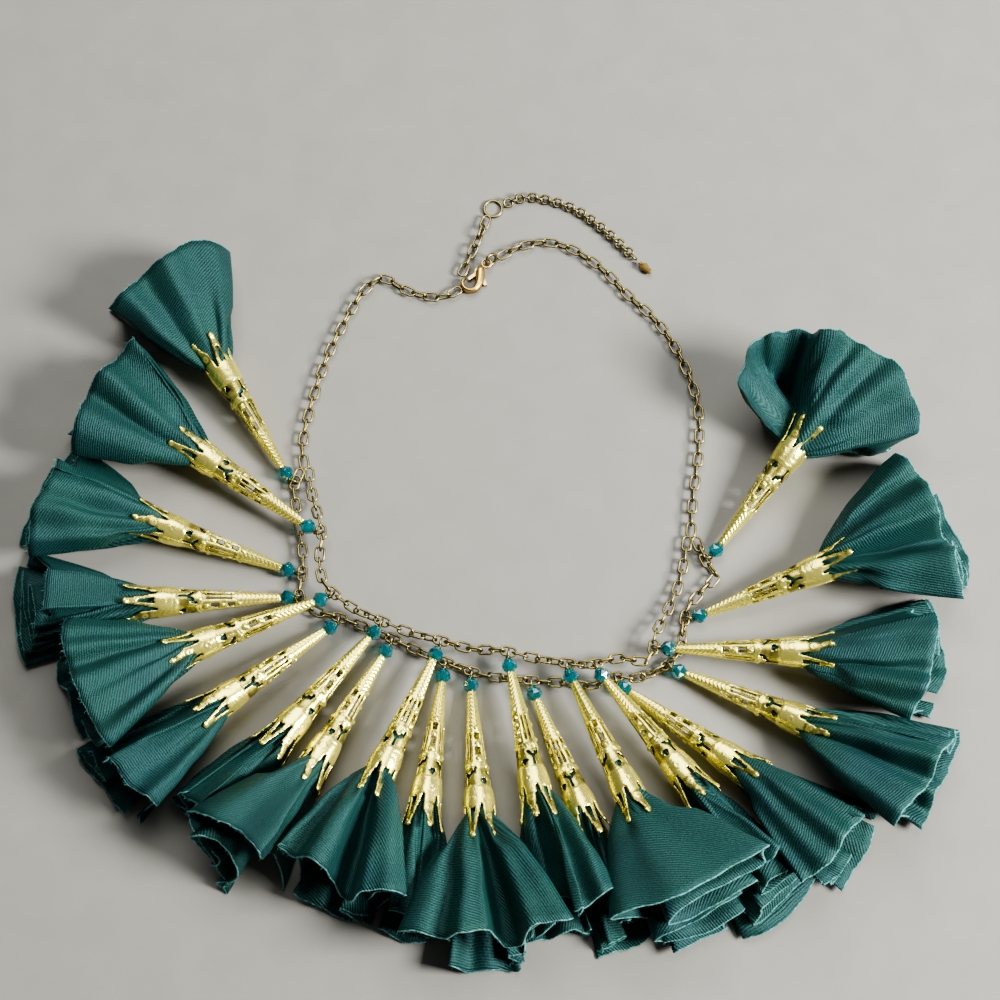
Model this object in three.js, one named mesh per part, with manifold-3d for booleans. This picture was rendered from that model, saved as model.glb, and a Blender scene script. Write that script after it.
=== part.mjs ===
// Bib necklace, lying open on a flat surface, in millimetres.
// +Z is up and -Y points to the foot of the bib. The origin is on the surface, under the middle of the whole.
import * as THREE from "three";
import { mergeVertices } from "three/addons/utils/BufferGeometryUtils.js";
import Module from "manifold-3d";

const wasm = await Module();
wasm.setup();

// Driving sizes

const CLEARANCE = 0.35; // between pieces that touch or link on the real necklace
const CLOTH_GAP = 0.4; // between one ruffle and the next

const NECK_CHAIN = { diameter: 2.6, step: 7.5 };
const FRONT_CHAIN = { diameter: 1.6, step: 4.8 };
const EXTENDER_CHAIN = { diameter: 2.4, step: 6.5 };
const CHAIN_SIDES = 8;

const EYE_WIRE = 0.6; // the eye pin's wire
const EYE_NECK = 0.5; // its wrapped neck, between the loop and the crystal
const EYE_INSIDE = FRONT_CHAIN.diameter + 2 * CLEARANCE; // the loop's opening, round the chain

const CRYSTAL = { diameter: 4, height: 3.6, table: 1.7 };

const CONE = {
  length: 31.5, // from the small end to the foot of the prongs
  prongs: 8.5, // length of the prongs
  notch: 1, // from the foot of the prongs to the bottom of the notches between them
  tip: 1.8, // diameter at the small end
  crown: 9.3, // diameter over the prongs' tips
  wall: 0.5,
  solid: 7, // length of the small end that is not hollow
  sides: 12, // two to each prong
};
const WINDOW = { at: 22.4, length: 5.8, width: 1.3, point: 1.4 };

const CLOTH = { wall: 1.1, rimWall: 1.5, neck: 1.5 }; // neck: how far the ruffle reaches into the cone
const RUFFLE = {
  reach: 24, // of the cloth past the prongs
  half: 19, // from the middle to either side at the rim
  crest: 13, // from the middle to the top of the rim
  fluteDepth: 0.18, // of the half width, from crest to valley
  rimWave: 0.1, // of the reach, how far the crests stand out past the valleys
  corners: 16, // round the ruffle, two to each flute
};
const MOUTH_RISE = 6.5; // from the surface to the middle of a cone's mouth
const LAP_HEIGHT = 4; // above the surface, where one ruffle starts to lean over the next

const RING_WIRE = 0.8;
const CLASP_RING = 4;
const EXTENDER_RING = 5.6;

const CLASP = {
  width: 5.5, // over the round end of the claw
  arm: 1.15, // width of the claw's arm
  height: 2.4, // of the whole clasp
  plate: 1.2, // thickness of the claw's upper plate, which covers the lever
  pivot: 4.6, // from the middle of the round end to the lever's pin
  hub: 1.5, // radius of the claw round the pin
  pin: 0.8, // diameter
  eyelet: 3.1, // over the eyelet
  eyeletHole: 1.9,
  eyeletWall: 0.6,
  eyeletBite: 0.4, // how far the eyelet runs into the claw
};
const LEVER = {
  width: 0.8,
  wall: 0.5, // round its hole
  gate: 3.7, // from the pin to the gate's end
  gateTurn: 160, // degrees round from +X
  tab: 4.5, // from the pin to the thumb tab's end
  tabTurn: -127,
};
const CLASP_RING_TILT = 65; // degrees from lying flat
const CLASP_PLACE = { x: -6.3, y: 78.1, z: 0.2, turn: 59.8 };

// tail and extender: where each chain's end meets the ring, in degrees round from +X
const EXTENDER_RING_PLACE = { x: -0.3, y: 100.9, tail: -117, extender: 20 };
const RING_SEAT = 0.47; // from the ring's outside to the middle of a chain's end

// outline: shares of the drop's length and of half its diameter, from its top
const END_DROP = {
  length: 4.6,
  diameter: 2.4,
  facets: 10,
  outline: [
    { along: 0, radius: 0 },
    { along: 0, radius: 0.38 },
    { along: 0.14, radius: 0.38 },
    { along: 0.34, radius: 1 },
    { along: 0.8, radius: 0.6 },
    { along: 0.88, radius: 0.68 },
    { along: 1, radius: 0 },
  ],
};

// Chain routes, through points chosen along each run. An end on the clasp or on the extender ring goes with
// that piece.

function atClasp(x, y, z) {
  return [CLASP_PLACE.x + x, CLASP_PLACE.y + y, z];
}

function atExtenderRing(degrees, z) {
  const away = EXTENDER_RING / 2 + RING_SEAT;
  const turn = THREE.MathUtils.degToRad(degrees);
  return [EXTENDER_RING_PLACE.x + away * Math.cos(turn), EXTENDER_RING_PLACE.y + away * Math.sin(turn), z];
}

const ROUTES = {
  neckLeft: [
    atClasp(-2.8, -1.5, 1.3),
    [-12.8, 74.6, 1.3],
    [-16.6, 74.3, 1.3],
    [-22.7, 75.9, 1.3],
    [-29.8, 79.6, 1.3],
    [-34.2, 76.8, 1.3],
    [-39.4, 67.8, 1.3],
    [-44.7, 55.3, 1.3],
    [-48.6, 40.8, 1.3],
    [-50.0, 30.9, 1.3],
    [-49.3, 25.5, 1.3],
  ],
  neckRight: [
    atClasp(7.6, 7.9, 1.3),
    [7.2, 89.1, 1.3],
    [13.7, 90.4, 1.3],
    [20.4, 88.7, 1.3],
    [29.0, 82.6, 1.3],
    [35.5, 75.2, 1.3],
    [43.8, 66.6, 1.3],
    [50.0, 55.4, 1.3],
    [53.6, 43.0, 1.3],
    [53.6, 31.2, 1.3],
    [51.6, 16.5, 1.3],
    [50.8, 6.6, 1.3],
  ],
  frontUpper: [
    [-48.3, 25.1, 1.6],
    [-47.0, 17.2, 2.4],
    [-45.2, 10.8, 4.3],
    [-44.2, 5.7, 4.7],
    [-44.6, -1.2, 4.0],
    [-43.4, -6.8, 4.4],
    [-40.6, -10.1, 4.7],
    [-34.9, -14.2, 4.0],
    [-28.4, -17.3, 4.7],
    [-20.9, -20.2, 3.6],
    [-14.0, -22.3, 4.7],
    [-5.4, -24.4, 3.6],
    [2.6, -25.2, 4.7],
    [10.0, -26.8, 3.8],
    [16.9, -28.2, 4.7],
    [23.9, -28.8, 4.7],
    [31.6, -27.0, 4.2],
    [38.2, -27.8, 4.7],
    [40.1, -25.2, 4.7],
    [40.8, -21.2, 4.4],
    [44.6, -13.4, 2.4],
    [47.8, -5.2, 1.4],
    [49.5, 2.8, 1.6],
    [49.9, 6.1, 1.6],
  ],
  frontLower: [
    [-50.3, 24.7, 1.75],
    [-51.9, 19.8, 1.75],
    [-51.2, 14.6, 1.75],
    [-50.0, 7.6, 1.75],
    [-49.0, 0.6, 1.75],
    [-49.1, -4.0, 1.75],
    [-49.4, -10.4, 1.75],
    [-45.4, -13.8, 1.75],
    [-39.4, -15.5, 1.75],
    [-32.4, -18.2, 1.75],
    [-25.2, -21.4, 1.75],
    [-18.4, -24.8, 1.75],
    [-12.4, -27.2, 1.75],
    [-6.2, -29.6, 1.75],
    [1.4, -31.4, 1.75],
    [8.4, -32.0, 1.75],
    [18.2, -32.8, 1.75],
    [25.0, -33.4, 1.75],
    [30.6, -31.2, 1.75],
    [36.2, -31.4, 1.75],
    [42.6, -28.9, 1.75],
    [47.2, -24.2, 1.75],
    [48.2, -18.8, 1.75],
    [49.4, -13.4, 1.75],
    [53.2, -8.4, 1.75],
    [56.7, -4.4, 1.75],
    [54.5, -0.4, 1.75],
    [51.9, 5.8, 1.75],
  ],
  tail: [
    atClasp(-2.5, 2.7, 1.3),
    [-6.3, 86.8, 1.3],
    [-3.8, 92.6, 1.3],
    atExtenderRing(EXTENDER_RING_PLACE.tail, 1.3),
  ],
  extender: [
    atExtenderRing(EXTENDER_RING_PLACE.extender, 1.2),
    [8.4, 103.9, 1.2],
    [13.8, 103.3, 1.2],
    [21.9, 100.3, 1.2],
    [29.9, 94.0, 1.2],
    [38.8, 84.8, 1.2],
  ],
};

// Drops, in order round the bib. strand and share: where the eye pin's loop holds the chain. heading: the
// way the cone points, in degrees from +X. rise, reach, left, right and crest: shares of MOUTH_RISE and of
// RUFFLE's reach, half and crest, where left and right are seen from above along the cone. turn: where the
// ruffle's first flute lies, in degrees. lap: how far the ruffle leans over the next one, in degrees, or
// under it below 0.

const DROP_COLUMNS = ["strand", "share", "heading", "rise", "reach", "left", "right", "crest", "turn", "lap"];
const DROPS = [
  ["frontLower", 0.022, 122, 1.00, 0.92, 1.12, 1.00, 1.00, 0, 0],
  ["frontUpper", 0.123, 146, 1.15, 0.96, 1.12, 1.18, 1.08, 12, 25],
  ["frontLower", 0.166, 162, 0.92, 0.92, 1.06, 0.98, 0.85, 5, 20],
  ["frontLower", 0.202, -176, 0.85, 0.96, 1.06, 1.00, 0.77, 16, -20],
  ["frontUpper", 0.235, -157, 1.15, 0.92, 1.10, 1.06, 0.92, 3, 20],
  ["frontLower", 0.272, -142, 0.92, 1.00, 0.98, 1.04, 0.85, 9, 0],
  ["frontUpper", 0.329, -129, 1.15, 0.80, 0.92, 0.92, 0.69, 14, -38],
  ["frontLower", 0.357, -119, 1.00, 1.04, 1.06, 1.18, 1.15, 2, -10],
  ["frontUpper", 0.431, -113, 1.23, 0.88, 1.06, 1.00, 1.00, 7, 25],
  ["frontLower", 0.443, -97, 0.92, 0.75, 0.94, 0.94, 0.62, 11, -40],
  ["frontLower", 0.483, -86, 0.92, 1.04, 1.24, 1.24, 1.15, 4, 28],
  ["frontUpper", 0.542, -79, 1.15, 0.96, 1.10, 0.94, 0.92, 0, 22],
  ["frontLower", 0.570, -69, 0.92, 0.79, 0.92, 0.94, 0.62, 8, -40],
  ["frontUpper", 0.639, -65.5, 1.23, 1.12, 1.35, 1.10, 1.08, 15, 35],
  ["frontUpper", 0.684, -53, 1.23, 1.08, 1.12, 1.06, 0.85, 6, -20],
  ["frontLower", 0.694, -37, 1.00, 1.00, 1.12, 1.06, 1.08, 10, -15],
  ["frontLower", 0.776, -25, 1.00, 1.04, 1.06, 1.06, 1.08, 1, -15],
  ["frontUpper", 0.794, -3, 1.15, 0.96, 1.06, 1.00, 1.00, 13, -15],
  ["frontLower", 0.854, 20, 1.00, 0.98, 1.10, 1.10, 0.92, 5, -15],
  ["frontLower", 0.963, 52, 1.00, 1.08, 1.24, 1.18, 1.15, 9, 0],
].map((row) => Object.fromEntries(row.map((value, i) => [DROP_COLUMNS[i], value])));

// Materials

function finish(name, color, roughness, metalness) {
  return new THREE.MeshStandardMaterial({ name, color, roughness, metalness });
}

const MATERIALS = {
  brass: finish("antique_brass", 0x8a7c4c, 0.4, 1),
  gilt: finish("gold_brass", 0xd8c45c, 0.3, 1),
  cloth: finish("teal_twill", 0x1f5a56, 0.9, 0),
};

const necklace = new THREE.Group();
necklace.name = "bib_necklace";

function addPiece(name, geometry, material, parent = necklace) {
  const mesh = new THREE.Mesh(geometry, material);
  mesh.name = name;
  parent.add(mesh);
  return mesh;
}

// Joining and cutting

function bare(geometry) {
  const copy = geometry.clone();
  copy.deleteAttribute("normal");
  copy.deleteAttribute("uv");
  return mergeVertices(copy, 1e-4);
}

function solid(geometry) {
  const merged = bare(geometry);
  return new wasm.Manifold(
    new wasm.Mesh({
      numProp: 3,
      vertProperties: new Float32Array(merged.attributes.position.array),
      triVerts: new Uint32Array(merged.index.array),
    }),
  );
}

function geometryOf(manifold) {
  const mesh = manifold.getMesh();
  const geometry = new THREE.BufferGeometry();
  geometry.setAttribute("position", new THREE.BufferAttribute(new Float32Array(mesh.vertProperties), 3));
  geometry.setIndex(new THREE.BufferAttribute(new Uint32Array(mesh.triVerts), 1));
  geometry.computeVertexNormals();
  return geometry;
}

// Chains: each run of fine links is a round bar along its route, as thick as the links are wide

function curveThrough(points) {
  return new THREE.CatmullRomCurve3(
    points.map((p) => new THREE.Vector3(...p)),
    false,
    "centripetal",
  );
}

function roundSection(diameter, sides) {
  const corners = Array.from({ length: sides }, (_, i) => {
    const angle = (2 * Math.PI * (i + 0.5)) / sides;
    return new THREE.Vector2(Math.cos(angle), Math.sin(angle)).multiplyScalar(diameter / 2);
  });
  return new THREE.Shape(corners);
}

function chainSteps(curve, chain) {
  return Math.ceil(curve.getLength() / chain.step);
}

function chainGeometry(curve, chain) {
  return bare(
    new THREE.ExtrudeGeometry(roundSection(chain.diameter, CHAIN_SIDES), {
      steps: chainSteps(curve, chain),
      extrudePath: curve,
      bevelEnabled: false,
    }),
  );
}

// Where a front chain's bar passes at a share of its length, and which way it runs there
function chainAt(curve, share) {
  const steps = chainSteps(curve, FRONT_CHAIN);
  const before = Math.floor(share * steps);
  const start = curve.getPointAt(before / steps);
  const end = curve.getPointAt((before + 1) / steps);
  return {
    anchor: start.clone().lerp(end, share * steps - before),
    along: end.clone().sub(start).normalize(),
  };
}

const curves = {};
for (const [name, points] of Object.entries(ROUTES)) curves[name] = curveThrough(points);

addPiece("neck_chain_left", chainGeometry(curves.neckLeft, NECK_CHAIN), MATERIALS.brass);
addPiece("neck_chain_right", chainGeometry(curves.neckRight, NECK_CHAIN), MATERIALS.brass);
addPiece("front_chain_upper", chainGeometry(curves.frontUpper, FRONT_CHAIN), MATERIALS.brass);
addPiece("front_chain_lower", chainGeometry(curves.frontLower, FRONT_CHAIN), MATERIALS.brass);
addPiece("tail_chain", chainGeometry(curves.tail, NECK_CHAIN), MATERIALS.brass);
addPiece("extender_chain", chainGeometry(curves.extender, EXTENDER_CHAIN), MATERIALS.brass);

// Rings and the end drop

function ringGeometry(outside, wire, sides, round) {
  return new THREE.TorusGeometry((outside - wire) / 2, wire / 2, sides, round);
}

const flatRing = ringGeometry(EXTENDER_RING, RING_WIRE, 5, 12);
const extenderRing = addPiece("extender_ring", flatRing, MATERIALS.brass);
extenderRing.position.set(EXTENDER_RING_PLACE.x, EXTENDER_RING_PLACE.y, RING_WIRE / 2);

function turned(profile, sides) {
  const points = profile.map(([radius, along]) => new THREE.Vector2(radius, along));
  const geometry = new THREE.LatheGeometry(points, sides);
  geometry.rotateZ(-Math.PI / 2);
  return geometry;
}

function endDropGeometry() {
  const { length, diameter, facets, outline } = END_DROP;
  const profile = outline.map(({ along, radius }) => [(radius * diameter) / 2, along * length]);
  return bare(turned(profile, facets));
}

const endDrop = addPiece("extender_drop", endDropGeometry(), MATERIALS.brass);
const extenderEnd = curves.extender.getPoint(1);
const extenderWay = curves.extender.getTangent(1);
endDrop.position.copy(extenderEnd).addScaledVector(extenderWay, CLEARANCE);
endDrop.rotation.z = Math.atan2(extenderWay.y, extenderWay.x);

// Clasp: a lobster claw and its lever. In the clasp's own frame the origin is the middle of the claw's
// round end, +X runs to the lever's pin, and the gate is on the +Y side.

const clasp = new THREE.Group();
clasp.position.set(CLASP_PLACE.x, CLASP_PLACE.y, CLASP_PLACE.z);
clasp.rotation.z = THREE.MathUtils.degToRad(CLASP_PLACE.turn);
necklace.add(clasp);

const DEGREE = Math.PI / 180;
const clawOut = CLASP.width / 2;
const clawIn = clawOut - CLASP.arm;
// Directions seen from above, round from +X
const CLAW_TIP = 75 * DEGREE; // where the claw's arm ends
const CLAW_FOOT = 230 * DEGREE; // where the deeper part of the arm ends, under the plate
const CLAW_BACK = -26 * DEGREE; // where its opening meets the plate
const HUB_FROM = -66 * DEGREE; // where the plate's straight back meets the hub
const HUB_TO = 110 * DEGREE;
const BACK = { along: 0.5, across: -0.96 }; // a point of the plate's back, shares of pivot and clawOut
const EYELET_TURN = -18 * DEGREE; // the eyelet, from the pin
const JOIN = 0.1; // how far one piece of the claw runs into another
const eyeletAway = CLASP.hub + CLASP.eyelet / 2 - CLASP.eyeletBite;
const eyeletZ = CLASP.height - CLASP.plate / 2;

function plate(shape, depth, z) {
  const geometry = new THREE.ExtrudeGeometry(shape, { depth, bevelEnabled: false, curveSegments: 4 });
  geometry.translate(0, 0, z);
  return geometry;
}

function bar(length, width, reach, turn) {
  const shape = new THREE.Shape();
  shape.moveTo(reach, -width / 2);
  shape.lineTo(length, -width / 2);
  shape.lineTo(length, width / 2);
  shape.lineTo(reach, width / 2);
  const points = shape.getPoints().map((p) => p.rotateAround(new THREE.Vector2(), turn));
  return new THREE.Shape(points.map((p) => p.add(new THREE.Vector2(CLASP.pivot, 0))));
}

function clawGeometry() {
  const { pivot, hub, height, plate: thick, pin, eyelet, eyeletHole, eyeletWall } = CLASP;
  const face = new THREE.Shape();
  face.absarc(0, 0, clawOut, CLAW_TIP, 1.5 * Math.PI, false);
  face.lineTo(BACK.along * pivot, BACK.across * clawOut);
  face.absarc(pivot, 0, hub, HUB_FROM, HUB_TO, false);
  face.absarc(0, 0, clawIn, CLAW_BACK, CLAW_TIP - 2 * Math.PI, true);
  const arm = new THREE.Shape();
  arm.absarc(0, 0, clawOut, CLAW_TIP, CLAW_FOOT, false);
  arm.absarc(0, 0, clawIn, CLAW_FOOT, CLAW_TIP, true);
  const ring = new THREE.Shape();
  const eyeletX = pivot + eyeletAway * Math.cos(EYELET_TURN);
  const eyeletY = eyeletAway * Math.sin(EYELET_TURN);
  ring.absarc(eyeletX, eyeletY, eyelet / 2, 0, 2 * Math.PI, false);
  ring.holes.push(new THREE.Path().absarc(eyeletX, eyeletY, eyeletHole / 2, 0, 2 * Math.PI, true));
  const post = new THREE.Shape().absarc(pivot, 0, pin / 2, 0, 2 * Math.PI, false);
  const plateZ = height - thick;
  return solid(plate(face, thick, plateZ))
    .add(solid(plate(arm, plateZ + JOIN, 0)))
    .add(solid(plate(ring, eyeletWall, eyeletZ - eyeletWall / 2)))
    .add(solid(plate(post, plateZ + JOIN, 0)));
}

function leverGeometry() {
  const hole = CLASP.pin / 2 + CLEARANCE;
  const hub = new THREE.Shape().absarc(CLASP.pivot, 0, hole + LEVER.wall, 0, 2 * Math.PI, false);
  hub.holes.push(new THREE.Path().absarc(CLASP.pivot, 0, hole, 0, 2 * Math.PI, true));
  const reach = hole + LEVER.wall / 2;
  const thick = CLASP.height - CLASP.plate - CLEARANCE;
  return solid(plate(hub, thick, 0))
    .add(solid(plate(bar(LEVER.gate, LEVER.width, reach, LEVER.gateTurn * DEGREE), thick, 0)))
    .add(solid(plate(bar(LEVER.tab, LEVER.width, reach, LEVER.tabTurn * DEGREE), thick, 0)));
}

addPiece("clasp_body", geometryOf(clawGeometry()), MATERIALS.brass, clasp);
addPiece("clasp_lever", geometryOf(leverGeometry()), MATERIALS.brass, clasp);

// The clasp's ring stands in the eyelet, aslant, and holds the right chain
const claspRing = addPiece("clasp_ring", ringGeometry(CLASP_RING, RING_WIRE, 5, 10), MATERIALS.brass, clasp);
const ringAway = eyeletAway + (CLASP_RING - RING_WIRE) / 2;
claspRing.position.set(ringAway, 0, eyeletZ).applyAxisAngle(new THREE.Vector3(0, 0, 1), EYELET_TURN);
claspRing.position.x += CLASP.pivot;
claspRing.rotation.set(CLASP_RING_TILT * DEGREE, 0, EYELET_TURN, "ZXY");

// Cone: a stamped sheet rolled to a cone, pierced in a ring and cut to a crown of six prongs, with the
// crystal fast on its small end. In the cone's own frame +X runs from the small end to the mouth, and the
// origin is at the small end.

const coneLength = CONE.length + CONE.prongs;

function coneOutside(along) {
  return (CONE.tip + ((CONE.crown - CONE.tip) * along) / coneLength) / 2;
}

function coneInside(along) {
  return ((CONE.crown / 2 - CONE.wall) * (along - CONE.solid)) / (coneLength - CONE.solid);
}

function coneShell() {
  const half = CRYSTAL.height / 2;
  const geometry = turned(
    [
      [0, -2 * half - EYE_NECK],
      [CRYSTAL.table / 2, -2 * half],
      [CRYSTAL.diameter / 2, -half],
      [CONE.tip / 2, 0],
      [coneOutside(coneLength), coneLength],
      [coneInside(coneLength), coneLength],
      [0, CONE.solid],
    ],
    CONE.sides,
  );
  // Every other corner of the crown drops back to the bottom of a notch
  const foot = CONE.length + CONE.notch;
  const place = geometry.attributes.position;
  for (let i = 0; i < place.count; i += 1) {
    const y = place.getY(i);
    const z = place.getZ(i);
    const corner = Math.round((Math.atan2(z, y) / (2 * Math.PI)) * CONE.sides);
    if (place.getX(i) < foot || corner % 2 === 0) continue;
    const radius = Math.hypot(y, z);
    const outside = radius > (coneOutside(coneLength) + coneInside(coneLength)) / 2;
    const shrink = (outside ? coneOutside(foot) : coneInside(foot)) / radius;
    place.setXYZ(i, foot, y * shrink, z * shrink);
  }
  return solid(geometry);
}

function windowCut(turn) {
  const half = WINDOW.width / 2;
  const end = WINDOW.at + WINDOW.length;
  const outline = [
    [WINDOW.at, 0],
    [end, -half],
    [end + WINDOW.point, 0],
    [end, half],
  ];
  const shape = new THREE.Shape(outline.map(([along, across]) => new THREE.Vector2(along, across)));
  const geometry = new THREE.ExtrudeGeometry(shape, { depth: 2 * CONE.crown, bevelEnabled: false });
  geometry.translate(0, 0, -CONE.crown);
  geometry.rotateX(turn);
  return solid(geometry);
}

function cutCone() {
  let cone = coneShell();
  for (let i = 0; i < 3; i += 1) {
    cone = cone.subtract(windowCut(((2 * i + 0.5) * 2 * Math.PI) / CONE.sides));
  }
  return cone.asOriginal().simplify(1e-3); // flat faces that the cuts split are whole again
}

// Drops: the eye pin's loop holds the chain, then come the crystal, the cone and the ruffle in its mouth

const eyeRadius = (EYE_INSIDE + EYE_WIRE) / 2;
const EYE_BITE = 0.25; // how far the loop's wire sits in the pin's neck
const UP = new THREE.Vector3(0, 0, 1);

function layOut(row) {
  const { anchor, along } = chainAt(curves[row.strand], row.share);
  const heading = THREE.MathUtils.degToRad(row.heading);
  const level = new THREE.Vector3(Math.cos(heading), Math.sin(heading), 0);
  const eye = eyeRadius + EYE_WIRE / 2 - EYE_BITE + EYE_NECK + CRYSTAL.height;
  const rise = row.rise * MOUTH_RISE - anchor.z;
  const axis = level.clone().multiplyScalar(eye + CONE.length).setZ(rise).normalize();
  const outward = axis.clone().addScaledVector(along, -axis.dot(along)).normalize();
  const tip = anchor.clone().addScaledVector(outward, eyeRadius).addScaledVector(axis, eye - eyeRadius);
  const mouth = tip.clone().addScaledVector(axis, CONE.length);
  const across = new THREE.Vector3().crossVectors(UP, level);
  return { row, anchor, along, outward, level, across, axis, tip, mouth };
}

const drops = DROPS.map(layOut);
const cone = cutCone();

function coneNode(drop) {
  const { axis, across, tip, outward, along, anchor } = drop;
  const lift = new THREE.Vector3().crossVectors(axis, across);
  const body = geometryOf(cone);
  body.applyMatrix4(new THREE.Matrix4().makeBasis(axis, across, lift).setPosition(tip));
  const loop = ringGeometry(EYE_INSIDE + 2 * EYE_WIRE, EYE_WIRE, 5, 10);
  const side = new THREE.Vector3().crossVectors(along, outward);
  loop.applyMatrix4(new THREE.Matrix4().makeBasis(outward, side, along).setPosition(anchor));
  return geometryOf(solid(body).add(solid(loop)));
}

// Ruffle: a strip of cloth gathered to a tube in the cone's mouth, which opens past the prongs to a fluted
// trumpet. It lies flat on the surface below, and at each side it stops short of the next ruffle, which it
// leans over or lies under.

// The plane between two ruffles, whose normal points to the second one
function dividingPlane(a, b) {
  const middle = a.mouth.clone().add(b.mouth).multiplyScalar(0.5).setZ(LAP_HEIGHT);
  const along = a.level.clone().add(b.level).normalize();
  const lean = THREE.MathUtils.degToRad(a.row.lap);
  const normal = new THREE.Vector3().crossVectors(UP, along).multiplyScalar(Math.cos(lean));
  return { middle, normal: normal.setZ(-Math.sin(lean)) };
}

const planes = drops.slice(1).map((drop, i) => dividingPlane(drops[i], drop));

// How far a point can go one way before it is within a gap of a plane, on the side where it is now
function roomTo(point, way, plane, side, gap) {
  if (!plane) return Infinity;
  const slope = side * way.dot(plane.normal);
  const away = -side * point.clone().sub(plane.middle).dot(plane.normal);
  return slope > 1e-6 ? (away - gap) / slope : Infinity;
}

// Rings of the ruffle, from the neck to the rim. share: of its reach past the prongs. spread: from the
// gathered round to the rim's oval. flute: share of the rim's flutes.
const STATIONS = [
  { past: "neck", share: -1, spread: 0, flute: 0 },
  { past: "prongs", share: 0, spread: 0, flute: 0 },
  { past: "cloth", share: 0.34, spread: 0.62, flute: 0.6 },
  { past: "cloth", share: 1, spread: 1, flute: 1 },
];

// Radius of the cloth inside the cone, so far along it
function gathered(along) {
  return coneInside(along) * Math.cos(Math.PI / CONE.sides) - CLEARANCE;
}

function ruffleGeometry(drop, index) {
  const { row, across, level, axis, mouth } = drop;
  const before = planes[index - 1];
  const after = planes[index];
  const crown = mouth.clone().addScaledVector(axis, CONE.prongs + 2 * CLEARANCE);
  const turn = THREE.MathUtils.degToRad(row.turn);
  const inner = [];
  const outer = [];
  STATIONS.forEach((station) => {
    const thick = station.share > 0 ? CLOTH.rimWall : CLOTH.wall;
    for (let i = 0; i < RUFFLE.corners; i += 1) {
      const angle = turn + (2 * Math.PI * i) / RUFFLE.corners;
      const crest = i % 2 === 0 ? 1 : -1;
      const cos = Math.cos(angle);
      const sin = Math.sin(angle);
      const point = new THREE.Vector3();
      let radius = 0;
      if (station.past === "neck") {
        point.copy(mouth).addScaledVector(axis, -CLOTH.neck);
        radius = gathered(CONE.length - CLOTH.neck);
      } else if (station.past === "prongs") {
        point.copy(crown);
        radius = gathered(coneLength);
      } else {
        const wave = 1 + RUFFLE.rimWave * crest * station.flute;
        point.copy(crown).addScaledVector(level, row.reach * RUFFLE.reach * station.share * wave);
        const side = (cos > 0 ? row.left : row.right) * RUFFLE.half;
        const oval = 1 / Math.hypot(cos / side, sin / (row.crest * RUFFLE.crest));
        radius = THREE.MathUtils.lerp(gathered(coneLength), oval, station.spread);
        radius *= 1 + (RUFFLE.fluteDepth / 2) * crest * station.flute;
      }
      const way = across.clone().multiplyScalar(cos).addScaledVector(UP, sin);
      const place = (most, gap, floor) => {
        let r = most;
        if (station.share > 0) {
          r = Math.min(r, roomTo(point, way, before, -1, gap), roomTo(point, way, after, 1, gap));
        }
        if (sin < 0) r = Math.min(r, (point.z - floor) / -sin);
        return point.clone().addScaledVector(way, r);
      };
      outer.push(place(radius, CLOTH_GAP / 2, 0));
      inner.push(place(radius - thick, CLOTH_GAP / 2 + thick, thick));
    }
  });
  return shellBetween(outer, inner, RUFFLE.corners, STATIONS.length);
}

// The closed wall between two grids of points, each round by stations
function shellBetween(outer, inner, round, stations) {
  const points = [...outer, ...inner];
  const faces = [];
  const quad = (a, b, c, d) => faces.push(a, b, c, a, c, d);
  const far = outer.length;
  for (let s = 0; s < stations - 1; s += 1) {
    for (let i = 0; i < round; i += 1) {
      const a = s * round + i;
      const b = s * round + ((i + 1) % round);
      quad(a, b, b + round, a + round);
      quad(far + b, far + a, far + a + round, far + b + round);
    }
  }
  const last = (stations - 1) * round;
  for (let i = 0; i < round; i += 1) {
    const next = (i + 1) % round;
    quad(next, i, far + i, far + next);
    quad(last + i, last + next, far + last + next, far + last + i);
  }
  const geometry = new THREE.BufferGeometry().setFromPoints(points);
  geometry.setIndex(faces);
  geometry.computeVertexNormals();
  return geometry;
}

drops.forEach((drop, i) => {
  const number = String(i + 1).padStart(2, "0");
  addPiece(`cone_${number}`, coneNode(drop), MATERIALS.gilt);
  addPiece(`ruffle_${number}`, ruffleGeometry(drop, i), MATERIALS.cloth);
});

export default necklace;
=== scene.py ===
# Bib necklace laid open: antique brass chain, and twenty drops of pierced brass cone, teal crystal and twill.
import math

import bpy
import numpy as np
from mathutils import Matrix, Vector


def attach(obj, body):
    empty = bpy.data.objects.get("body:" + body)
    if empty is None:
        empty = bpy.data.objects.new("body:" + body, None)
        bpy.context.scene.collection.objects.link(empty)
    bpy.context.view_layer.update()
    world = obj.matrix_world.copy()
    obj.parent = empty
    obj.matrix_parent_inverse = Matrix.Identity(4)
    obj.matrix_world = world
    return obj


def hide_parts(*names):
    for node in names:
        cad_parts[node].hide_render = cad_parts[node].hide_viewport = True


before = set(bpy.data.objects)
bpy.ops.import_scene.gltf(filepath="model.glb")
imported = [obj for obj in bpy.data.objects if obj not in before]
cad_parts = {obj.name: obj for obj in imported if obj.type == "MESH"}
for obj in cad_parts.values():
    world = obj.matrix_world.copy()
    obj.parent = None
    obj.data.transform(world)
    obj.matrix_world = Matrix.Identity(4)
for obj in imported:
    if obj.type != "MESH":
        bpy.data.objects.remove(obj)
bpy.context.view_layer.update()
MM = 0.001

# Table, light and camera
# The necklace lies on a plain matt table, under one broad soft light from the front right and a fill from
# above. The camera looks down at it from the front, 70 degrees above the table, with firm contrast.

CAMERA_AIM = (1.6 * MM, 17.0 * MM, 0.0)
CAMERA_ELEVATION = 70
CAMERA_DISTANCE = 0.65
LENS = 90  # on a sensor 36 mm wide


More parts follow.
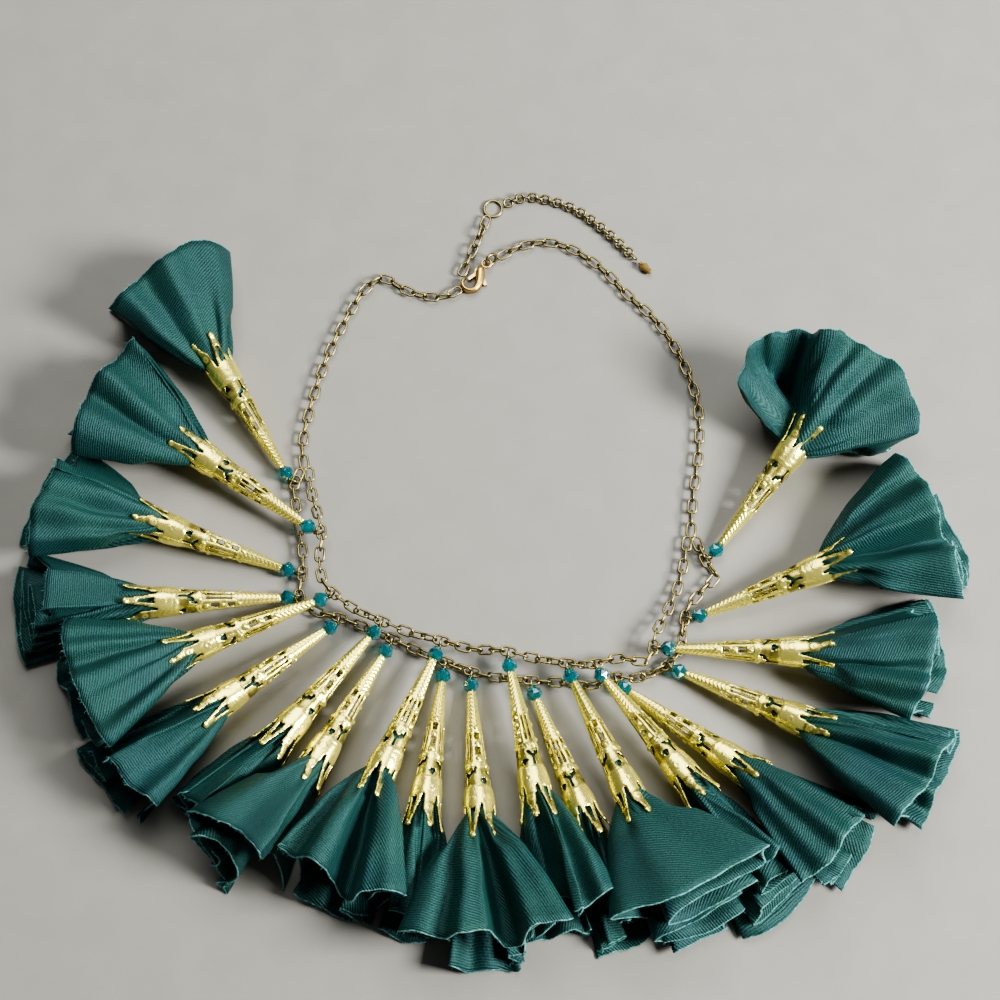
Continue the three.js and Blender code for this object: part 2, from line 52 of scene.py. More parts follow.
def linear(colour):
    """An sRGB hex colour as linear red, green, blue and alpha"""
    parts = [int(colour[i : i + 2], 16) / 255 for i in (1, 3, 5)]
    return [c / 12.92 if c <= 0.04045 else ((c + 0.055) / 1.055) ** 2.4 for c in parts] + [1.0]


def add_node(tree, kind, inputs, **settings):
    """Add a node of a kind, set its own properties, and set or link its input sockets"""
    made = tree.nodes.new(kind)
    for name, value in settings.items():
        setattr(made, name, value)
    for name, value in inputs.items():
        if isinstance(value, bpy.types.NodeSocket):
            tree.links.new(value, made.inputs[name])
        else:
            made.inputs[name].default_value = value
    return made


def add_noise(tree, vector, scale, detail, roughness=0.5, result="Fac"):
    """Cloudy noise: the scale is its clouds to a unit of the vector, and the detail its finer layers"""
    inputs = {"Vector": vector, "Scale": scale, "Detail": detail, "Roughness": roughness}
    return add_node(tree, "ShaderNodeTexNoise", inputs).outputs[result]


def add_mix(tree, share, first, second, blend="MIX"):
    """Two colours mixed, where the share is the second one's"""
    first_colour, second_colour, mixed_colour = 6, 7, 2
    inputs = {"Factor": share, first_colour: first, second_colour: second}
    return add_node(tree, "ShaderNodeMix", inputs, data_type="RGBA", blend_type=blend).outputs[mixed_colour]


def new_material(name):
    """An empty node material, its tree, and the place of a point on the surface in metres"""
    material = bpy.data.materials.new(name)
    material.use_nodes = True
    material.node_tree.nodes.clear()
    place = add_node(material.node_tree, "ShaderNodeTexCoord", {}).outputs["Object"]
    return material, material.node_tree, place


def set_surface(tree, qualities):
    """Give a material the surface that has these qualities"""
    surface = add_node(tree, "ShaderNodeBsdfPrincipled", qualities)
    output = tree.nodes.new("ShaderNodeOutputMaterial")
    tree.links.new(surface.outputs["BSDF"], output.inputs["Surface"])


def table_finish():
    """Matt laminate: a nearly even pale grey with a faint mottle"""
    material, tree, place = new_material("matt_laminate")
    mottle = add_noise(tree, place, scale=90, detail=6)
    shade = add_mix(tree, mottle, linear("#83817a"), linear("#8e8c84"))
    set_surface(tree, {"Base Color": shade, "Roughness": 0.62, "Specular IOR Level": 0.3})
    return material


def new_piece(name, points, faces, material, smooth=True):
    """A mesh object at the origin, from an array of points in metres and one of faces"""
    mesh = bpy.data.meshes.new(name)
    mesh.from_pydata(np.asarray(points, dtype=float).tolist(), [], np.asarray(faces).tolist())
    mesh.materials.append(material)
    piece = bpy.data.objects.new(name, mesh)
    bpy.context.scene.collection.objects.link(piece)
    if smooth:
        mesh.shade_smooth()
    return piece


def light_panel(name, place, size, power):
    """A square area light at a place, turned to face the middle of the table"""
    lamp = bpy.data.lights.new(name, "AREA")
    lamp.size = size
    lamp.energy = power
    panel = bpy.data.objects.new(name, lamp)
    panel.location = place
    panel.rotation_euler = (-Vector(place)).to_track_quat("-Z", "Y").to_euler()
    bpy.context.scene.collection.objects.link(panel)


TABLE_REACH = 3.0
table_corners = np.array([[-1, -1, 0], [1, -1, 0], [1, 1, 0], [-1, 1, 0]]) * TABLE_REACH
table_top = new_piece("table_top", table_corners, [[0, 1, 2, 3]], table_finish())

light_panel("key_light", place=(0.80, -0.16, 0.56), size=0.30, power=28.0)
light_panel("fill_light", place=(0.05, 0.55, 0.90), size=0.8, power=11.0)

world = bpy.data.worlds.new("soft_studio")
world.use_nodes = True
room = world.node_tree.nodes["Background"].inputs
room["Color"].default_value = linear("#e9edf2")
room["Strength"].default_value = 0.11
bpy.context.scene.world = world
bpy.context.scene.view_settings.look = "AgX - Medium High Contrast"

camera_data = bpy.data.cameras.new("camera")
camera_data.lens = LENS
camera_data.sensor_width = 36
camera_data.clip_start = 0.01
camera = bpy.data.objects.new("camera", camera_data)
rise = math.radians(CAMERA_ELEVATION)
camera.location = (
    CAMERA_AIM[0],
    CAMERA_AIM[1] - CAMERA_DISTANCE * math.cos(rise),
    CAMERA_DISTANCE * math.sin(rise),
)
camera.rotation_euler = (math.pi / 2 - rise, 0, 0)
bpy.context.scene.collection.objects.link(camera)
bpy.context.scene.camera = camera

# Cable chain of the neck and of the two front strands
# Oval links of round brass wire, each at a right angle to the next, antiqued dark, with painted light on
# the faces that turn up and painted shade on those that turn down. Each link is bent round the next one and
# left open at a butt joint, as such chain is.

LINK = {"length": 4.6 * MM, "width": 2.85 * MM, "wire": 0.62 * MM}
LINK_STEP = 3.36 * MM  # from one link's middle to the next when the chain is nearly taut
UP = np.array([0.0, 0.0, 1.0])

ROUTES = {
    "neck_left": [
        [-9.1, 76.6, 1.3], [-12.8, 74.6, 1.3], [-16.6, 74.3, 1.3], [-22.7, 75.9, 1.3], [-29.8, 79.6, 1.3],
        [-34.2, 76.8, 1.3], [-39.4, 67.8, 1.3], [-44.7, 55.3, 1.3], [-48.6, 40.8, 1.3], [-50.0, 30.9, 1.3],
        [-49.3, 25.5, 1.3],
    ],
    "neck_right": [
        [1.3, 86.0, 1.3], [7.2, 89.1, 1.3], [13.7, 90.4, 1.3], [20.4, 88.7, 1.3], [29.0, 82.6, 1.3],
        [35.5, 75.2, 1.3], [43.8, 66.6, 1.3], [50.0, 55.4, 1.3], [53.6, 43.0, 1.3], [53.6, 31.2, 1.3],
        [51.6, 16.5, 1.3], [50.8, 6.6, 1.3],
    ],
    "front_upper": [
        [-48.3, 25.1, 1.6], [-47.0, 17.2, 2.4], [-45.2, 10.8, 4.3], [-44.2, 5.7, 4.7], [-44.6, -1.2, 4.0],
        [-43.4, -6.8, 4.4], [-40.6, -10.1, 4.7], [-34.9, -14.2, 4.0], [-28.4, -17.3, 4.7],
        [-20.9, -20.2, 3.6], [-14.0, -22.3, 4.7], [-5.4, -24.4, 3.6], [2.6, -25.2, 4.7], [10.0, -26.8, 3.8],
        [16.9, -28.2, 4.7], [23.9, -28.8, 4.7], [31.6, -27.0, 4.2], [38.2, -27.8, 4.7], [40.1, -25.2, 4.7],
        [40.8, -21.2, 4.4], [44.6, -13.4, 2.4], [47.8, -5.2, 1.4], [49.5, 2.8, 1.6], [49.9, 6.1, 1.6],
    ],
    "front_lower": [
        [-50.3, 24.7, 1.75], [-51.9, 19.8, 1.75], [-51.2, 14.6, 1.75], [-50.0, 7.6, 1.75],
        [-49.0, 0.6, 1.75], [-49.1, -4.0, 1.75], [-49.4, -10.4, 1.75], [-45.4, -13.8, 1.75],
        [-39.4, -15.5, 1.75], [-32.4, -18.2, 1.75], [-25.2, -21.4, 1.75], [-18.4, -24.8, 1.75],
        [-12.4, -27.2, 1.75], [-6.2, -29.6, 1.75], [1.4, -31.4, 1.75], [8.4, -32.0, 1.75],
        [18.2, -32.8, 1.75], [25.0, -33.4, 1.75], [30.6, -31.2, 1.75], [36.2, -31.4, 1.75],
        [42.6, -28.9, 1.75], [47.2, -24.2, 1.75], [48.2, -18.8, 1.75], [49.4, -13.4, 1.75],
        [53.2, -8.4, 1.75], [56.7, -4.4, 1.75], [54.5, -0.4, 1.75], [51.9, 5.8, 1.75],
    ],
    "tail": [
        [-8.8, 80.8, 1.3], [-6.3, 86.8, 1.3], [-3.8, 92.6, 1.3], [-1.8, 98.0, 1.3],
    ],
    "extender": [
        [2.8, 102.0, 1.2], [8.4, 103.9, 1.2], [13.8, 103.3, 1.2], [21.9, 100.3, 1.2], [29.9, 94.0, 1.2],
        [38.8, 84.8, 1.2],
    ],
}

# Where the eye pins' loops hold each front strand, as shares of its length
HELD = {
    "front_upper": [0.123, 0.235, 0.329, 0.431, 0.542, 0.639, 0.684, 0.794],
    "front_lower": [0.022, 0.166, 0.202, 0.272, 0.357, 0.443, 0.483, 0.570, 0.694, 0.776, 0.854, 0.963],
}


def unit(vectors):
    """Vectors in the same directions, 1 long"""
    return vectors / np.linalg.norm(vectors, axis=-1, keepdims=True)


def distance_along(line):
    """The distance along a line of points to each of them"""
    return np.concatenate([[0], np.cumsum(np.linalg.norm(np.diff(line, axis=0), axis=1))])


def chain_route(points):
    """A centripetal Catmull-Rom curve through a route's points, as many close points in metres, with the
    distance along it to each"""
    knots = np.array(points) * MM
    knots = np.vstack([2 * knots[0] - knots[1], knots, 2 * knots[-1] - knots[-2]])
    before, start, end, after = knots[:-3], knots[1:-2], knots[2:-1], knots[3:]
    pairs = ((before, start), (start, end), (end, after))
    gap = [np.sqrt(np.linalg.norm(b - a, axis=1))[:, None] for a, b in pairs]
    leave = ((start - before) / gap[0] - (end - before) / (gap[0] + gap[1]) + (end - start) / gap[1]) * gap[1]
    arrive = ((end - start) / gap[1] - (after - start) / (gap[1] + gap[2]) + (after - end) / gap[2]) * gap[1]
    t = np.linspace(0, 1, 60, endpoint=False)[None, :, None]
    start, end, leave, arrive = (a[:, None, :] for a in (start, end, leave, arrive))
    curve = (
        (2 * t**3 - 3 * t**2 + 1) * start
        + (t**3 - 2 * t**2 + t) * leave
        + (3 * t**2 - 2 * t**3) * end
        + (t**3 - t**2) * arrive
    )
    line = np.vstack([curve.reshape(-1, 3), knots[-2]])
    return line, distance_along(line)


def along_route(route, distance):
    """The points at some distances along a route, and the directions in which it runs there"""
    line, gone = route
    near = 0.4 * MM
    behind, point, ahead = (
        np.stack([np.interp(distance + shift, gone, line[:, i]) for i in range(3)], axis=1)
        for shift in (-near, 0, near)
    )
    return point, unit(ahead - behind)


def bent_wire(length, width, wire, round_steps=16, wire_steps=6):
    """One link lying flat: the wire's middle follows two half circles joined by straights, and its round
    section is carried along that"""
    turn = (np.arange(round_steps) + 0.5) * 2 * np.pi / round_steps
    across = np.arange(wire_steps) * 2 * np.pi / wire_steps
    out = np.stack([np.cos(turn), np.sin(turn)], axis=1)
    straight = (length - width) / 2 * np.sign(out[:, 0])
    middle = (width - wire) / 2 * out + np.stack([straight, 0 * turn], axis=1)
    flat = middle[:, None, :] + wire / 2 * np.cos(across)[None, :, None] * out[:, None, :]
    high = np.broadcast_to(wire / 2 * np.sin(across), (round_steps, wire_steps))
    points = np.concatenate([flat, high[..., None]], axis=2).reshape(-1, 3)
    return points, ring_faces(round_steps, wire_steps)


def ring_faces(rings, corners, closed=True):
    """Faces of a tube whose rings of corners follow each other, and meet again if it is closed"""
    i, j = np.meshgrid(np.arange(rings if closed else rings - 1), np.arange(corners), indexing="ij")
    after, beside = (i + 1) % rings, (j + 1) % corners
    return np.stack(
        [i * corners + j, after * corners + j, after * corners + beside, i * corners + beside], axis=-1
    ).reshape(-1, 4)


def repeated(shape, faces, centres, bases):
    """One shape put at many places: each copy's points are turned by its basis and moved to its centre"""
    points = np.einsum("kij,nj->kni", bases, shape) + centres[:, None, :]
    moved = faces[None] + (np.arange(len(centres)) * len(shape))[:, None, None]
    return points.reshape(-1, 3), moved.reshape(-1, faces.shape[1])


def link_stations(route, step, held=()):
    """Where each link's middle lies and how far it is rolled about the chain. A link's middle falls on each
    held place, where it lies flat, and the links between are evenly spaced and turned a quarter each"""
    length = route[1][-1]
    stops = [0.5 * step] + [share * length for share in held] + [length - 0.5 * step]
    places, rolls = [stops[0]], [0.0]
    for start, end in zip(stops[:-1], stops[1:]):
        count = max(1, math.ceil((end - start) / step - 0.04))
        turns = count + count % 2
        places += [start + (end - start) * (i + 1) / count for i in range(count)]
        rolls += [math.pi / 2 * turns * (i + 1) / count for i in range(count)]
    return np.array(places), np.array(rolls)


def laid_chain(route, shape, faces, places, rolls):
    """Links along a route, each turned by its roll about the direction of the chain"""
    centre, way = along_route(route, places)
    side = unit(np.cross(UP, way))
    over = np.cross(way, side)
    across = np.cos(rolls)[:, None] * side + np.sin(rolls)[:, None] * over
    bases = np.stack([way, across, np.cross(way, across)], axis=2)
    return repeated(shape, faces, centre, bases)


def add_maths(tree, operation, *values):
    """One operation on two or three values, in their order"""
    return add_node(tree, "ShaderNodeMath", dict(enumerate(values)), operation=operation).outputs[0]


def add_range(tree, value, *bounds):
    """A value that lies between the first two bounds, moved in proportion to between the last two"""
    return add_node(tree, "ShaderNodeMapRange", dict(enumerate((value, *bounds)))).outputs[0]


def add_ramp(tree, value, *stops):
    """The colour at a value, when it changes evenly from the first stop's to the second's"""
    ramp = add_node(tree, "ShaderNodeValToRGB", {0: value})
    for i, (position, colour) in enumerate(stops):
        ramp.color_ramp.elements[i].position = position
        ramp.color_ramp.elements[i].color = linear(colour)
    return ramp.outputs["Color"]


def add_bump(tree, height, strength, distance):
    """Fine relief, as high as the distance in metres where the height is 1"""
    inputs = {"Strength": strength, "Distance": distance, "Height": height}
    return add_node(tree, "ShaderNodeBump", inputs).outputs["Normal"]


def antique_brass(name, painted_shade_below, painted_light_above):
    """Brass darkened by a patina in random blotches, with painted shade: nearly black-brown on the faces
    that turn down, and painted light: paler on the faces that turn up
    """
    material, tree, place = new_material(name)
    normal = add_node(tree, "ShaderNodeNewGeometry", {}).outputs["Normal"]
    upward = add_node(tree, "ShaderNodeSeparateXYZ", {0: normal}).outputs["Z"]
    # Painted light and shade: the more a face turns up, the paler it is painted
    painted_top_light = add_range(tree, upward, -0.2, 1.0, 0.0, 0.75)
    blotch = add_noise(tree, place, scale=900, detail=4)
    patina_and_painted_top_light = add_maths(tree, "MULTIPLY_ADD", blotch, 0.7, painted_top_light)
    colour = add_ramp(tree, patina_and_painted_top_light, (0.35, painted_shade_below), (1.0, painted_light_above))
    relief = add_bump(tree, add_noise(tree, place, scale=5000, detail=3), strength=0.25, distance=0.00005)
    set_surface(tree, {"Base Color": colour, "Metallic": 1.0, "Roughness": 0.33, "Normal": relief})
    return material


# Chain brass: its dark colour is painted shade on faces that turn down, its pale one painted light on faces
# that turn up
old_brass = antique_brass("antique_brass", "#1d190f", "#978a58")
routes = {name: chain_route(points) for name, points in ROUTES.items()}
link, link_faces = bent_wire(**LINK)

CHAINS = {
    "neck_left": "neck_chain_left",
    "neck_right": "neck_chain_right",
    "front_upper": "front_chain_upper",
    "front_lower": "front_chain_lower",
    "tail": "tail_chain",
}
for name, node in CHAINS.items():
    places, rolls = link_stations(routes[name], LINK_STEP, HELD.get(name, ()))
    chain = new_piece(f"{node}_links", *laid_chain(routes[name], link, link_faces, places, rolls), old_brass)
    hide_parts(node)
    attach(chain, "necklace")

# Extender chain
# Small round rings of the same wire, close together, so that the clasp can hook into any of them.

SMALL_RING = {"length": 3.0 * MM, "width": 3.0 * MM, "wire": 0.62 * MM}
SMALL_RING_STEP = 1.74 * MM

small_ring, small_faces = bent_wire(**SMALL_RING)
count = int(routes["extender"][1][-1] / SMALL_RING_STEP)
places = (np.arange(count) + 0.6) * SMALL_RING_STEP
rolls = np.arange(count) * math.pi / 2 + 0.5
extender = new_piece(
    "extender_chain_rings",
    *laid_chain(routes["extender"], small_ring, small_faces, places, rolls),
    old_brass,
)
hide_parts("extender_chain")
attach(extender, "necklace")

# Clasp and its rings
# A cast lobster claw with a spring lever, rubbed brighter than the chain, on a jump ring through its eyelet.
# A larger jump ring joins the tail to the extender, which ends in a small faceted drop.

CLASP = {"x": -6.3, "y": 78.1, "z": 0.2, "turn": 59.8, "pivot": 4.6, "height": 2.4, "plate": 1.2}  # mm
EYELET = {"away": 2.65, "turn": -18, "outside": 3.1, "wire": 0.62}
CLASP_RING = {"outside": 4.0, "wire": 0.8, "tilt": 65}
EXTENDER_RING = {"x": -0.3, "y": 100.9, "outside": 5.6, "wire": 0.8}

# The claw, from its hooked tip round its back to the hub: x and y of its middle line in the clasp's own
# frame, whose +X runs from the middle of the round end to the lever's pin, half its width and half its height
CLAW = [
    (0.62, 2.10, 0.22, 0.45), (0.20, 2.26, 0.44, 0.72), (-0.60, 2.18, 0.54, 0.90),
    (-1.42, 1.68, 0.58, 1.02), (-2.02, 0.80, 0.60, 1.10), (-2.12, -0.30, 0.62, 1.15),
    (-1.70, -1.32, 0.68, 1.18), (-0.85, -1.95, 0.80, 1.20), (0.30, -2.05, 0.98, 1.20),
    (1.60, -1.78, 1.12, 1.20), (3.00, -1.20, 1.22, 1.20), (4.20, -0.55, 1.30, 1.20),
    (5.10, -0.20, 1.15, 1.10), (5.75, -0.25, 0.75, 0.80), (6.05, -0.32, 0.15, 0.25),
]


def on_clasp(points):
    """Points of the clasp's own frame, in mm, turned and moved to where it lies, in metres"""
    turn = math.radians(CLASP["turn"])
    basis = np.array([[math.cos(turn), -math.sin(turn), 0], [math.sin(turn), math.cos(turn), 0], [0, 0, 1]])
    return (points @ basis.T + np.array([CLASP["x"], CLASP["y"], CLASP["z"]])) * MM


def capped_tube(rings, corners):
    """Triangles of a tube whose rings of corners follow each other, with a fan at each end to a middle
    point. The two middle points come after all the rings"""
    quads = ring_faces(rings, corners, closed=False)
    corner = np.arange(corners)
    beside = (corner + 1) % corners
    last = (rings - 1) * corners
    start = np.stack([np.full(corners, rings * corners), corner, beside], axis=1)
    end = np.stack([np.full(corners, rings * corners + 1), last + beside, last + corner], axis=1)
    return np.concatenate([quads[:, [0, 1, 2]], quads[:, [0, 2, 3]], start, end])


def cast_claw(rows, steps=60, corners=14):
    """An oval section carried along the claw's middle line, as wide and high as the rows say"""
    table = np.array(rows)
    fine = np.linspace(0, len(table) - 1, steps)
    line = np.stack([np.interp(fine, np.arange(len(table)), table[:, i]) for i in range(4)], axis=1)
    smooth = np.array([0.25, 0.5, 0.25])
    padded = np.pad(line, ((1, 1), (0, 0)), mode="edge")
    line = np.stack([np.convolve(padded[:, i], smooth, mode="valid") for i in range(4)], axis=1)
    way = unit(np.gradient(line[:, :2], axis=0))
    side = np.stack([-way[:, 1], way[:, 0]], axis=1)
    turn = np.arange(corners) * 2 * np.pi / corners
    flat = line[:, None, :2] + side[:, None, :] * (line[:, 2, None] * np.cos(turn))[..., None]
    high = CLASP["height"] / 2 + line[:, 3, None] * np.sin(turn)
    points = np.concatenate([flat, high[..., None]], axis=2).reshape(-1, 3)
    ends = np.stack([points[:corners].mean(axis=0), points[-corners:].mean(axis=0)])
    return np.vstack([points, ends]), capped_tube(steps, corners)[:, ::-1]


def round_ring(size, round_steps, wire_steps):
    """A closed round ring lying flat, as wide outside and as thick as its size says"""
    return bent_wire(size["outside"], size["outside"], size["wire"], round_steps, wire_steps)


# Clasp brass, brighter than the chain's: its dark colour is painted shade on faces that turn down, its pale
# one painted light on faces that turn up
rubbed_brass = antique_brass("rubbed_brass", "#6d4a1c", "#e3bf74")
claw_points, claw_faces = cast_claw(CLAW)
claw = new_piece("clasp_claw", on_clasp(claw_points), claw_faces, rubbed_brass)

eyelet, eyelet_faces = round_ring(EYELET, 32, 10)
lobe = math.radians(EYELET["turn"])
out_from_pin = np.array([math.cos(lobe), math.sin(lobe), 0.0])
pin_middle = np.array([CLASP["pivot"], 0, CLASP["height"] - CLASP["plate"] / 2])
eyelet_middle = pin_middle + EYELET["away"] * out_from_pin
claw_eye = new_piece("clasp_eyelet", on_clasp(eyelet + eyelet_middle), eyelet_faces, rubbed_brass)

tilt = math.radians(CLASP_RING["tilt"])
level_side = np.array([-math.sin(lobe), math.cos(lobe), 0.0])
ring_side = level_side * math.cos(tilt) + UP * math.sin(tilt)
ring_over = -level_side * math.sin(tilt) + UP * math.cos(tilt)
ring_basis = np.stack([out_from_pin, ring_side, ring_over], axis=1)
ring_middle = eyelet_middle + out_from_pin * (CLASP_RING["outside"] - CLASP_RING["wire"]) / 2
jump, jump_faces = round_ring(CLASP_RING, 36, 12)
clasp_ring = new_piece("clasp_jump_ring", on_clasp(jump @ ring_basis.T + ring_middle), jump_faces, old_brass)
wide, wide_faces = round_ring(EXTENDER_RING, 40, 12)
wide_middle = [EXTENDER_RING["x"], EXTENDER_RING["y"], EXTENDER_RING["wire"] / 2]
extender_ring = new_piece("extender_jump_ring", (wide + wide_middle) * MM, wide_faces, old_brass)
for piece, node in (
    (claw, "clasp_body"),
    (claw_eye, "clasp_body"),
    (clasp_ring, "clasp_ring"),
    (extender_ring, "extender_ring"),
):
    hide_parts(node)
    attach(piece, "necklace")
for node in ("extender_drop", "clasp_lever"):
    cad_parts[node].data.materials.clear()
    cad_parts[node].data.materials.append(rubbed_brass)

# Drops
# Each hangs from a link by an eye pin, whose wire runs down through a crystal into the cone. The table gives
# the cone's small end, the way it points round from +X, how it rises, and how far it is rolled about itself.

DROP_COLUMNS = ("x", "y", "z", "heading", "pitch", "roll", "strand", "share")
DROPS = [
    (-55.09, 25.04, 2.51, 122, 7.30, 10, "front_lower", 0.022),
    (-49.21, 8.89, 5.05, 146, 4.32, 75, "front_upper", 0.123),
    (-54.49, -2.27, 2.39, 162, 6.50, 40, "front_lower", 0.166),
    (-54.43, -10.47, 2.32, -176, 5.81, 100, "front_lower", 0.202),
    (-45.65, -12.39, 5.07, -157, 4.43, 20, "front_upper", 0.235),
    (-43.04, -19.43, 2.41, -142, 6.50, 65, "front_lower", 0.272),
    (-31.48, -21.87, 5.07, -129, 4.42, 5, "front_upper", 0.329),
    (-28.25, -26.12, 2.46, -119, 7.30, 50, "front_lower", 0.357),
    (-15.29, -27.69, 5.06, -113, 5.27, 85, "front_upper", 0.431),
    (-13.02, -32.82, 2.39, -97, 6.50, 30, "front_lower", 0.443),
    (-5.62, -35.27, 2.40, -86, 6.50, 15, "front_lower", 0.483),
    (4.29, -30.92, 4.98, -79, 4.48, 70, "front_upper", 0.542),
    (10.84, -37.37, 2.40, -69, 6.50, 95, "front_lower", 0.570),
    (20.08, -33.62, 5.27, -65.5, 4.99, 35, "front_upper", 0.639),
    (28.26, -33.05, 5.14, -53, 5.28, 60, "front_upper", 0.684),
    (34.34, -35.41, 2.51, -37, 7.30, 0, "front_lower", 0.694),
    (48.48, -30.67, 2.49, -25, 7.30, 80, "front_lower", 0.776),
    (45.84, -24.74, 5.06, -3, 4.41, 45, "front_upper", 0.794),
    (54.10, -14.58, 2.49, 20, 7.30, 110, "front_lower", 0.854),
    (58.32, 3.90, 2.48, 52, 7.30, 25, "front_lower", 0.963),
]


def drop_frame(row):
    """A drop's own axes: along its cone, level across to the left of that, and the third, with the place of
    the cone's small end"""
    heading, pitch = math.radians(row["heading"]), math.radians(row["pitch"])
    level = np.array([math.cos(heading), math.sin(heading), 0.0])
    axis = level * math.cos(pitch) + UP * math.sin(pitch)
    across = np.cross(UP, level)
    tip = np.array([row["x"], row["y"], row["z"]]) * MM
    return {**row, "level": level, "axis": axis, "across": across, "lift": np.cross(axis, across), "tip": tip}


drops = [drop_frame(dict(zip(DROP_COLUMNS, row))) for row in DROPS]

# Cones
# Sheet brass 0.4 mm thick, pierced and embossed flat in a die, rolled to a cone, and plated a bright yellow
# gold. The pattern comes three times round: feather ribs at the small end, square windows with domes
# between them, paired slots, a Y and a little house, a plain swelling band, and six cut-out prongs.

CONE = {"length": 40.0, "body": 31.3, "tip": 1.8, "crown": 9.3, "splay": 0.9, "wall": 0.4}  # mm
AROUND, UPWARD = 72, 112  # cells of the flat sheet, round and along

# Piercings, in mm: the angle of the column that each is in, round from the Y; a start and an end in that
# column, each as across and along; and half its width
PIERCINGS = [
    (0, 0.0, 23.4, 0.0, 25.6, 0.37),
    (0, 0.0, 23.4, 1.15, 22.3, 0.37),
    (0, 0.0, 23.4, -1.15, 22.4, 0.46),
    (0, 0.56, 12.6, 0.60, 18.7, 0.30),
    (0, -0.56, 12.6, -0.60, 18.7, 0.30),
    (43, -0.30, 24.6, 0.30, 24.6, 0.58),
    (43, 0.0, 24.6, 0.0, 25.4, 0.40),
    (83, 0.0, 21.4, 0.25, 22.4, 0.36),
    (100, 0.0, 32.6, 0.0, 35.4, 0.36),
    (100, 0.42, 32.2, 0.0, 35.4, 0.40),
    (100, -0.42, 32.2, 0.0, 35.4, 0.40),
]
SQUARES = [(60, 12.7, 0.64, 0.80), (60, 16.7, 0.78, 0.96)]  # angle, along, half width, half length
DOMES = [(60, 10.6, 0.50), (60, 14.7, 0.52), (60, 18.9, 0.62), (20, 20.6, 0.45), (100, 20.6, 0.45)]
DOME_HIGH = 0.42
FEATHER = {"step": 1.15, "slant": 0.9, "rib": 0.17, "quill": 0.12, "ends": 11.4}
HOOPS = (11.4, 20.2, 21.0, 26.6)  # along
SWELL = {"starts": 25.6, "ends": 33.2, "high": 0.20, "petals": 0.13}
CURLS = [(40, 29.2, 1.05), (100, 29.6, 0.8), (40, 34.4, 0.95), (40, 36.8, 0.5)]  # angle, along, radius

# Prongs, as rounded strokes with the same columns as the piercings: an open frame with a ball, and a
# scrolled leaf
PRONGS = [
    (100, 1.45, 31.0, 0.30, 38.0, 0.50),
    (100, -1.45, 31.0, -0.30, 38.0, 0.50),
    (100, 0.0, 31.2, 0.0, 31.6, 1.30),
    (100, 0.0, 38.8, 0.0, 39.0, 0.88),
    (40, 0.0, 31.4, 0.0, 32.6, 1.45),
    (40, 0.15, 34.0, 0.2, 35.0, 1.30),
    (40, -0.1, 36.4, -0.45, 37.3, 0.84),
    (40, -0.6, 38.5, -0.5, 38.9, 0.82),
]


def cone_radius(along):
    """The straight taper of the body, and past it the prongs' splay"""
    straight = (CONE["tip"] + (CONE["crown"] - CONE["tip"]) * along / CONE["length"]) / 2
    past_body = np.clip((along - CONE["body"]) / (CONE["length"] - CONE["body"]), 0, 1)
    return straight + CONE["splay"] * past_body**1.5


def from_column(angle, along, column):
    """Distance round the sheet from a column that comes three times round"""
    away = (np.degrees(angle) - column + 60) % 120 - 60
    return np.radians(away) * cone_radius(along)


def to_stroke(angle, along, stroke):
    """Distance outside a rounded stroke, below 0 inside it"""
    column, x0, y0, x1, y1, half = stroke
    x, y = from_column(angle, along, column) - x0, along - y0
    run = np.array([x1 - x0, y1 - y0])
    t = np.clip((x * run[0] + y * run[1]) / (run @ run), 0, 1)
    return np.hypot(x - t * run[0], y - t * run[1]) - half


def to_square(angle, along, square):
    """Distances outside a square window's sides, across and along, below 0 between them"""
    column, middle, half_width, half_length = square
    return np.abs(from_column(angle, along, column)) - half_width, np.abs(along - middle) - half_length


def metal_depth(angle, along):
    """How far a place on the sheet is inside the metal: the body and the prongs, less the piercings"""
    depth = CONE["body"] + 0.25 * np.cos(6 * angle - math.radians(240)) - along
    for prong in PRONGS:
        depth = np.maximum(depth, -to_stroke(angle, along, prong))
    for hole in PIERCINGS:
        depth = np.minimum(depth, to_stroke(angle, along, hole))
    for square in SQUARES:
        x, y = to_square(angle, along, square)
        outside = np.hypot(np.maximum(x, 0), np.maximum(y, 0)) + np.minimum(np.maximum(x, y), 0)
        depth = np.minimum(depth, outside)
    return depth


def bump(distance, width):
    """A smooth hump: 1 at no distance, 0 past its width"""
    return np.clip(1 - (distance / width) ** 2, 0, 1) ** 2


